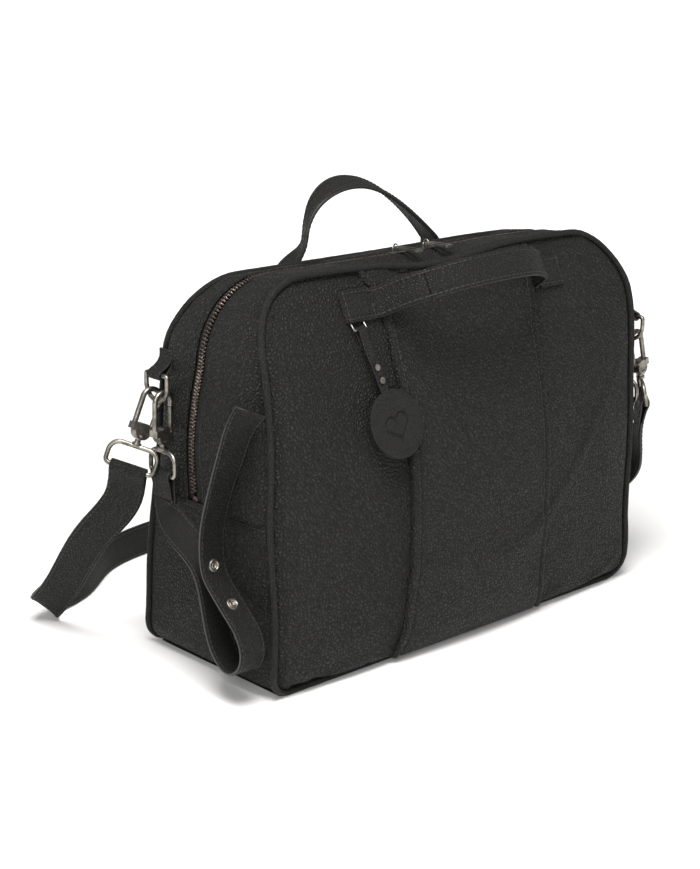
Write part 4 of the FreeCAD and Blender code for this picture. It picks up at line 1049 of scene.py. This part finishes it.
# ---- Back handle --------------------------------------------------------------------
# The same strap on the back panel; it stands up and leans a little to the left.
back_points = [(-87.6, 35.2, 262.0), (-83.4, 37.0, 262.6), (-77.0, 44.6, 273.0), (-63.2, 37.8, 297.4),
               (-61.2, 37.8, 306.0), (-55.0, 37.8, 322.0), (-34.0, 37.8, 338.0), (-8.0, 37.8, 339.5),
               (25.0, 37.8, 326.0), (53.0, 37.8, 305.0), (65.6, 37.8, 293.2), (70.8, 37.8, 286.4),
               (77.0, 44.6, 271.0), (83.4, 37.0, 262.6), (87.6, 35.2, 262.0)]
back_sides = [(0, -0.33, 0.94), (0, -0.3, 0.94), (0.21, 0.58, 0.79), (0.57, 0.82, 0), (0.57, 0.82, 0),
              (0.47, 0.88, 0.1), (0.2, 0.95, 0.25), (0, 0.95, 0.3), (0, 0.95, 0.3), (0, 0.98, 0.21),
              (0, 0.99, 0.1), (0, 0.99, 0.1), (0.12, 0.7, 0.7), (0, -0.3, 0.94), (0, -0.33, 0.94)]
back_frames = strap_frames(back_points, back_sides, 190)
bow_first = int(np.argmin(np.abs(back_frames[0][:60, 2] - 302 * MM)))
bow_last = int(np.argmin(np.abs(back_frames[0][120:, 2] - 290 * MM))) + 120
handle("back", back_frames, (bow_first, bow_last))


# ---- Sliders and pulls --------------------------------------------------------------
# Cast zinc with an antique nickel finish, rubbed brighter on its high spots. Each pull hangs
# from a bail on its slider.
def nickel(name, pale=(0.36, 0.34, 0.3, 1), dark=(0.11, 0.1, 0.088, 1)):
    f = Finish(name, Metallic=1.0)
    where = f.place()
    cloud = f.noise(where, 160.0, 4.0)
    scuff = f.noise(where, 1500.0)
    wear = f.ramp(cloud, 0.3, 0.7)
    colour = f.mix(wear * 0.75 + scuff * 0.25, dark, pale)
    return f.shade(Base_Color=colour, Roughness=0.42 - wear * 0.14 + scuff * 0.06,
                   Normal=f.relief(scuff + cloud, 0.04 * MM))


nickel_finish = nickel("antique_nickel")
for side in ("left", "right"):
    dress("zip_slider_" + side, nickel_finish)
    dress("zip_pull_" + side, nickel_finish)
dress("zip_stops", tooth_metal)

# ---- D-rings and hooks --------------------------------------------------------------
# Bent wire rings and cast trigger hooks with a sprung gate and a swivel, antique nickel.
for side in ("left", "right"):
    dress(side + "_ring", nickel_finish)
    for kind in ("stroller", "shoulder"):
        for part in ("hook", "gate", "loop"):
            dress("%s_%s_%s" % (side, kind, part), nickel_finish)

# ---- Ring tabs ----------------------------------------------------------------------
# A short leather strap folded round the bar of each D-ring and sewn to the end panel.
TAB_W, TAB_T = 14 * MM, 1.8 * MM
for side, sign in (("left", -1), ("right", 1)):
    low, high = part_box(side + "_ring")
    bar_x = sign * (HALF + 14 * MM) / MM
    y = (low.y + high.y) / 2 / MM
    wall_x = (HALF / MM + 4.4) * sign
    loop = [(wall_x + sign * 0.4, y, 238), (wall_x + sign * 1.2, y, 231), (bar_x - sign * 4.5, y, 226.5),
            (bar_x, y, 224.0), (bar_x + sign * 2.9, y, 221.2), (bar_x, y, 218.1),
            (bar_x - sign * 4.6, y, 221.0), (wall_x + sign * 0.6, y, 227.0), (wall_x + sign * 0.2, y, 231.0)]
    tab_frames = strap_frames(loop, [(0, 1, 0)] * len(loop), 46)
    strap(side + "_ring_strap", tab_frames, TAB_W, TAB_T, body="bag", cad=(side + "_ring_tab",), upper=sign)


# ---- Strap eyes ---------------------------------------------------------------------
# The end of each strap is folded round the lower bar of its loop and stitched to itself.
EYE_T, EYE_TRIM = 1.8 * MM, 0.6
EYES = {
    "left_stroller": ((-207.33, 26.4, 148.91), (0.035, 0.999, -0.001), (0.012, -0.002, -1.0), 22.0),
    "right_stroller": ((207.33, -55.1, 149.11), (0.0, -1.0, 0.0), (0.0, 0.0, -1.0), 22.0),
    "left_shoulder": ((-227.65, 39.9, 153.99), (-0.606, 0.743, 0.283), (0.176, 0.472, -0.864), 28.0),
    "right_shoulder": ((218.18, -68.6, 150.43), (-0.662, -0.731, -0.165), (0.046, 0.18, -0.983), 28.0),
}
for name, (foot, across, toward, width) in EYES.items():
    foot, across, toward = np.array(foot), np.array(across), np.array(toward)
    thick = np.cross(across, toward)
    outline = [(17.4, 0.6), (11, 1.2), (5, 2.2), (0, 3.0), (-2.6, 1.7), (-2.6, -1.7), (0, -3.0), (5, -2.6),
               (11, -2.5), (16.4, -2.5), (21, -2.4), (24.5, -2.3)]
    loop = [foot + toward * a + thick * b for a, b in outline]
    eye_frames = strap_frames(loop, [across] * len(loop), 60)
    body = name + "_loop"
    strap(name + "_eye", eye_frames, (width - EYE_TRIM) * MM, EYE_T, body=body, cad=(name + "_strap_eye",))
    for k, distance in enumerate((10.0, 13.5, 22.5)):
        centre = (foot + toward * distance - thick * 3.5) * MM
        line = [centre + across * (width / 2 - 2.2) * MM * t for t in np.linspace(-1, 1, 6)]
        row_of("%s_eye_stitches_%d" % (name, k), [(line, -thick)], stitch, STITCH * 0.8, thread, body)


# ---- Stroller straps ----------------------------------------------------------------
# Single leather straps that button round a stroller's handle with two snaps. The left one
# hangs open in a long loop against the end panel.
def eyelet(radius, height):
    """Ring-shaped snap socket turned on a lathe, axis Z, its foot at z = 0."""
    profile = [(1.0, 0.0), (1.02, 0.25), (0.96, 0.62), (0.84, 0.85), (0.72, 0.88), (0.6, 0.7), (0.55, 0.35),
               (0.5, 0.3), (0.44, 0.55), (0.38, 0.62), (0.32, 0.5), (0.3, 0.1), (0.0, 0.06)]
    angle = np.append(np.linspace(0, 2 * math.pi, 28, endpoint=False), 0)
    return np.array([[(r * radius * math.cos(a), r * radius * math.sin(a), h * height) for a in angle]
                     for r, h in profile])


SNAP_R, SNAP_T = 4.7 * MM, 1.5 * MM


def snaps(name, frames, shares, face, body, cad):
    """Snap sockets set through a strap at these shares of its length, each with a smaller back."""
    count = 0
    for share in shares:
        k = int(round(share * (len(frames[0]) - 1)))
        centre, side, lift = frames[0][k], frames[1][k], frames[2][k] * face
        along = np.cross(side, lift)
        for flip in (1, -1):
            model = eyelet(SNAP_R * (1 if flip > 0 else 0.8), SNAP_T)
            seat = centre + lift * flip * 1.1 * MM
            grid = seat + model[..., :1] * side + model[..., 1:2] * along * flip + model[..., 2:] * lift * flip
            sheet("%s_%d" % (name, count), grid, lift * flip, nickel_finish, body=body,
                  cad=() if count else cad)
            count += 1


STROLLER_T, STROLLER_HEM = 2.2 * MM, 1.8 * MM
left_points = [(-207.1, 26.4, 131.3), (-207.1, 26.4, 127.3), (-207.3, 14.0, 114.0), (-208.0, -9.0, 102.0),
               (-209.0, -24.0, 90.0), (-209.0, -30.5, 72.0), (-209.0, -36.0, 50.0), (-209.0, -46.0, 32.0),
               (-209.0, -59.5, 25.5), (-209.0, -70.5, 31.0), (-209.0, -75.0, 43.0), (-209.0, -70.5, 56.0),
               (-209.0, -57.5, 68.0), (-209.0, -44.0, 79.5), (-209.0, -34.5, 90.0), (-209.0, -31.5, 102.0),
               (-209.0, -32.0, 118.0), (-209.0, -36.5, 136.0), (-208.0, -44.0, 158.0), (-207.0, -54.0, 182.0),
               (-206.0, -64.0, 203.0), (-205.3, -69.7, 210.8), (-205.0, -72.0, 214.0)]
left_sides = ([(-0.03, -1, 0), (-0.03, -1, 0), (0.49, -0.82, 0.29), (0.84, -0.5, 0.2), (0.99, -0.15, 0)]
              + [(1, 0, 0)] * 11 + [(1, 0, -0.05), (1, 0, -0.1), (0.97, 0, -0.25), (0.89, -0.05, -0.45),
                                    (0.75, -0.05, -0.65), (0.6, 0, -0.8), (0.6, 0, -0.8)])
left_frames = strap_frames(left_points, left_sides, 220)
right_points = [(207.3, -55.1, 131.5), (207.3, -55.1, 127.5), (203.5, -50.0, 108.0), (203.5, -46.0, 70.0),
                (204.0, -43.0, 38.0), (210.5, -41.0, 25.0), (216.5, -40.0, 38.0), (214.5, -38.0, 70.0),
                (211.9, -37.1, 96.0), (211.5, -37.0, 100.0)]
right_frames = strap_frames(right_points, [(0, 1, 0)] * 2 + [(0, 0.99, 0.1)] * 8, 130)
for side, frames, upper, last in (("left", left_frames, -1, 217), ("right", right_frames, 1, 128)):
    body = side + "_stroller_loop"
    strap(side + "_stroller_leather", frames, HANDLE_W, STROLLER_T, body=body,
          cad=(side + "_stroller_strap",), upper=upper)
    row_of(side + "_stroller_stitches", strap_rows(frames, HANDLE_W, STROLLER_T, STROLLER_HEM, 2, last),
           stitch, STITCH, thread, body)
snaps("left_stroller_snap", left_frames, (0.565, 0.655), -1, "left_stroller_loop", ("left_stroller_snaps",))
snaps("right_stroller_snap", right_frames, (0.78, 0.9), 1, "right_stroller_loop", ("right_stroller_snaps",))

# ---- Shoulder strap -----------------------------------------------------------------
# One long leather strap, 28 mm wide, clipped on at both ends; its slack lies on its edge on the
# ground behind the bag. Near each hook it is made of three short lengths that keep the shape they are made in.
SHOULDER_W, SHOULDER_T, SHOULDER_HEM = 28 * MM, 3.0 * MM, 2.2 * MM
SHOULDER_STATIONS = 400
BEND_ENDS = (0.03, 0.07, 0.16)          # metres from an eye to where each short length ends
shoulder_points = [(-224.5, 48.2, 138.8), (-223.8, 50.1, 135.3), (-227.0, 87.0, 94.0), (-227.3, 122.0, 54.5),
                   (-227.5, 149.0, 24.5), (-226.0, 163.0, 13.6), (-216.0, 171.0, 14.4), (-197.0, 177.0, 15.0),
                   (-171.0, 188.0, 14.6), (-121.0, 226.0, 14.6), (-72.0, 241.0, 14.6), (-30.0, 246.0, 14.6),
                   (35.0, 244.0, 14.6), (95.0, 230.0, 14.6), (150.0, 204.0, 14.6), (187.0, 168.0, 14.6),
                   (212.0, 128.0, 15.2), (228.0, 78.0, 22.0), (232.0, 25.0, 38.0), (229.0, -22.0, 64.0),
                   (226.5, -54.0, 92.0), (219.2, -64.7, 129.2), (219.0, -65.4, 133.1)]
shoulder_sides = ([(0.61, -0.74, -0.28), (0.61, -0.74, -0.28), (0.67, -0.67, -0.33), (0.7, -0.58, -0.4),
                   (0.72, -0.54, -0.44), (0.63, -0.39, -0.67), (0.41, -0.2, -0.89), (0.12, -0.05, -0.99)]
                  + [(0, 0, -1)] * 8
                  + [(0, -0.1, -1), (0, -0.36, -0.93), (0, -0.6, -0.8), (-0.1, -0.82, -0.56),
                     (-0.36, -0.86, -0.36), (-0.66, -0.73, -0.16), (-0.66, -0.73, -0.16)])
shoulder_frames = strap_frames(shoulder_points, shoulder_sides, SHOULDER_STATIONS)
shoulder_centre = shoulder_frames[0]
shoulder_reach = np.concatenate([[0], np.cumsum(np.linalg.norm(np.diff(shoulder_centre, axis=0), axis=1))])
cuts = [int(np.searchsorted(shoulder_reach, d)) for d in BEND_ENDS]
back_cuts = [int(np.searchsorted(shoulder_reach, shoulder_reach[-1] - d)) for d in reversed(BEND_ENDS)]
limits = [0] + cuts + back_cuts + [SHOULDER_STATIONS - 1]
owners = [("left_shoulder_loop", "left_shoulder_hook"), ("left_shoulder_hook", "left_ring"), ("left_ring", "bag"),
          None, ("bag", "right_ring"), ("right_ring", "right_shoulder_hook"),
          ("right_shoulder_hook", "right_shoulder_loop")]
for k, owner in enumerate(owners):
    a, b = limits[k], limits[k + 1]

    def hold(piece):
        if owner is None:
            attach(piece, "bag")
        else:
            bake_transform(piece)
    length = strap("shoulder_strap_length_%d" % k, shoulder_frames, SHOULDER_W, SHOULDER_T, a, b + 1,
                   after=hold, capped=False)
    if owner is None:
        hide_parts("shoulder_strap")
    row_of("shoulder_strap_stitches_%d" % k,
           strap_rows(shoulder_frames, SHOULDER_W, SHOULDER_T, SHOULDER_HEM, a, b + 1),
           stitch, STITCH, thread, "bag", after=hold)

# ---- Hang tag -----------------------------------------------------------------------
# A round leather tag with a heart pressed into it, on a narrow strap with two rivets. The strap
# is folded round a small wire ring in the handle's left tab.
TAG_R, TAG_T, TAG_DROP = 25 * MM, 3.0 * MM, 47 * MM
TAG_LEAN, TAG_TILT = math.radians(17), math.radians(13)
tag_pivot = np.array([-104.0, -70.34, 255.18]) * MM
tag_rise = np.array([0.0, math.sin(TAG_LEAN), math.cos(TAG_LEAN)])
tag_out = np.array([0.0, -math.cos(TAG_LEAN), math.sin(TAG_LEAN)])
tag_x = np.array([math.cos(TAG_TILT), 0, 0]) + tag_rise * math.sin(TAG_TILT)
tag_up = np.array([-math.sin(TAG_TILT), 0, 0]) + tag_rise * math.cos(TAG_TILT)


def heart(x, y):
    """Distance-like measure from a heart's outline, in units of its half width."""
    y = y + 0.15
    t = np.linspace(0, 2 * math.pi, 160)
    hx = np.sin(t) ** 3
    hy = (13 * np.cos(t) - 5 * np.cos(2 * t) - 2 * np.cos(3 * t) - np.cos(4 * t)) / 16
    return np.min(np.hypot(x[..., None] - hx, y[..., None] - hy), -1)


radii = np.concatenate([np.linspace(0, 0.86, 44),
                        [0.9, 0.93, 0.96, 0.98, 0.995, 1.0, 1.0, 0.99, 0.96, 0.9, 0.5, 0.0]])
tall = np.concatenate([np.full(44, 1.0),
                       [1.0, 0.98, 0.9, 0.78, 0.55, 0.25, -0.4, -0.75, -0.95, -1.0, -1.0, -1.0]])
angle = np.linspace(0, 2 * math.pi, 129)
disc_x, disc_y = radii[:, None] * np.cos(angle), radii[:, None] * np.sin(angle)
press = np.exp(-(heart(disc_x / 0.42, disc_y / 0.42) / 0.1) ** 2)
rim_press = np.exp(-((radii - 0.88) / 0.018) ** 2)[:, None] * 0.35
disc_z = tall[:, None] * TAG_T / 2 - (press * 1.3 + rim_press) * MM * (np.arange(len(radii)) < 50)[:, None]
tag_centre = tag_pivot - tag_up * (TAG_DROP + TAG_R)
disc_grid = (tag_centre + tag_x * (disc_x * TAG_R)[..., None] + tag_up * (disc_y * TAG_R)[..., None]
             + tag_out * disc_z[..., None])
tag_leather = leather("tag_leather", 1.3 * MM, 0.14 * MM, 0.42)
sheet("tag_round", disc_grid, disc_grid - tag_centre, tag_leather, body="tag", cad=("tag_disc",))
strap_line = [(-12, 1.7), (-6, 1.8), (-2, 2.0), (1.3, 1.3), (1.3, -1.3), (-2, -2.0), (-6, -0.9), (-12, -0.6),
              (-49, -0.7)]
loop = [(tag_pivot + tag_up * a * MM - tag_out * b * MM) / MM for a, b in strap_line]
tag_frames = strap_frames(loop, [tag_x] * len(loop), 50)
strap("tag_strap_leather", tag_frames, 7.4 * MM, 1.2 * MM, body="tag", cad=("tag_strap",))
dress("tag_ring", nickel_finish)
dress("tag_rivets", nickel_finish)
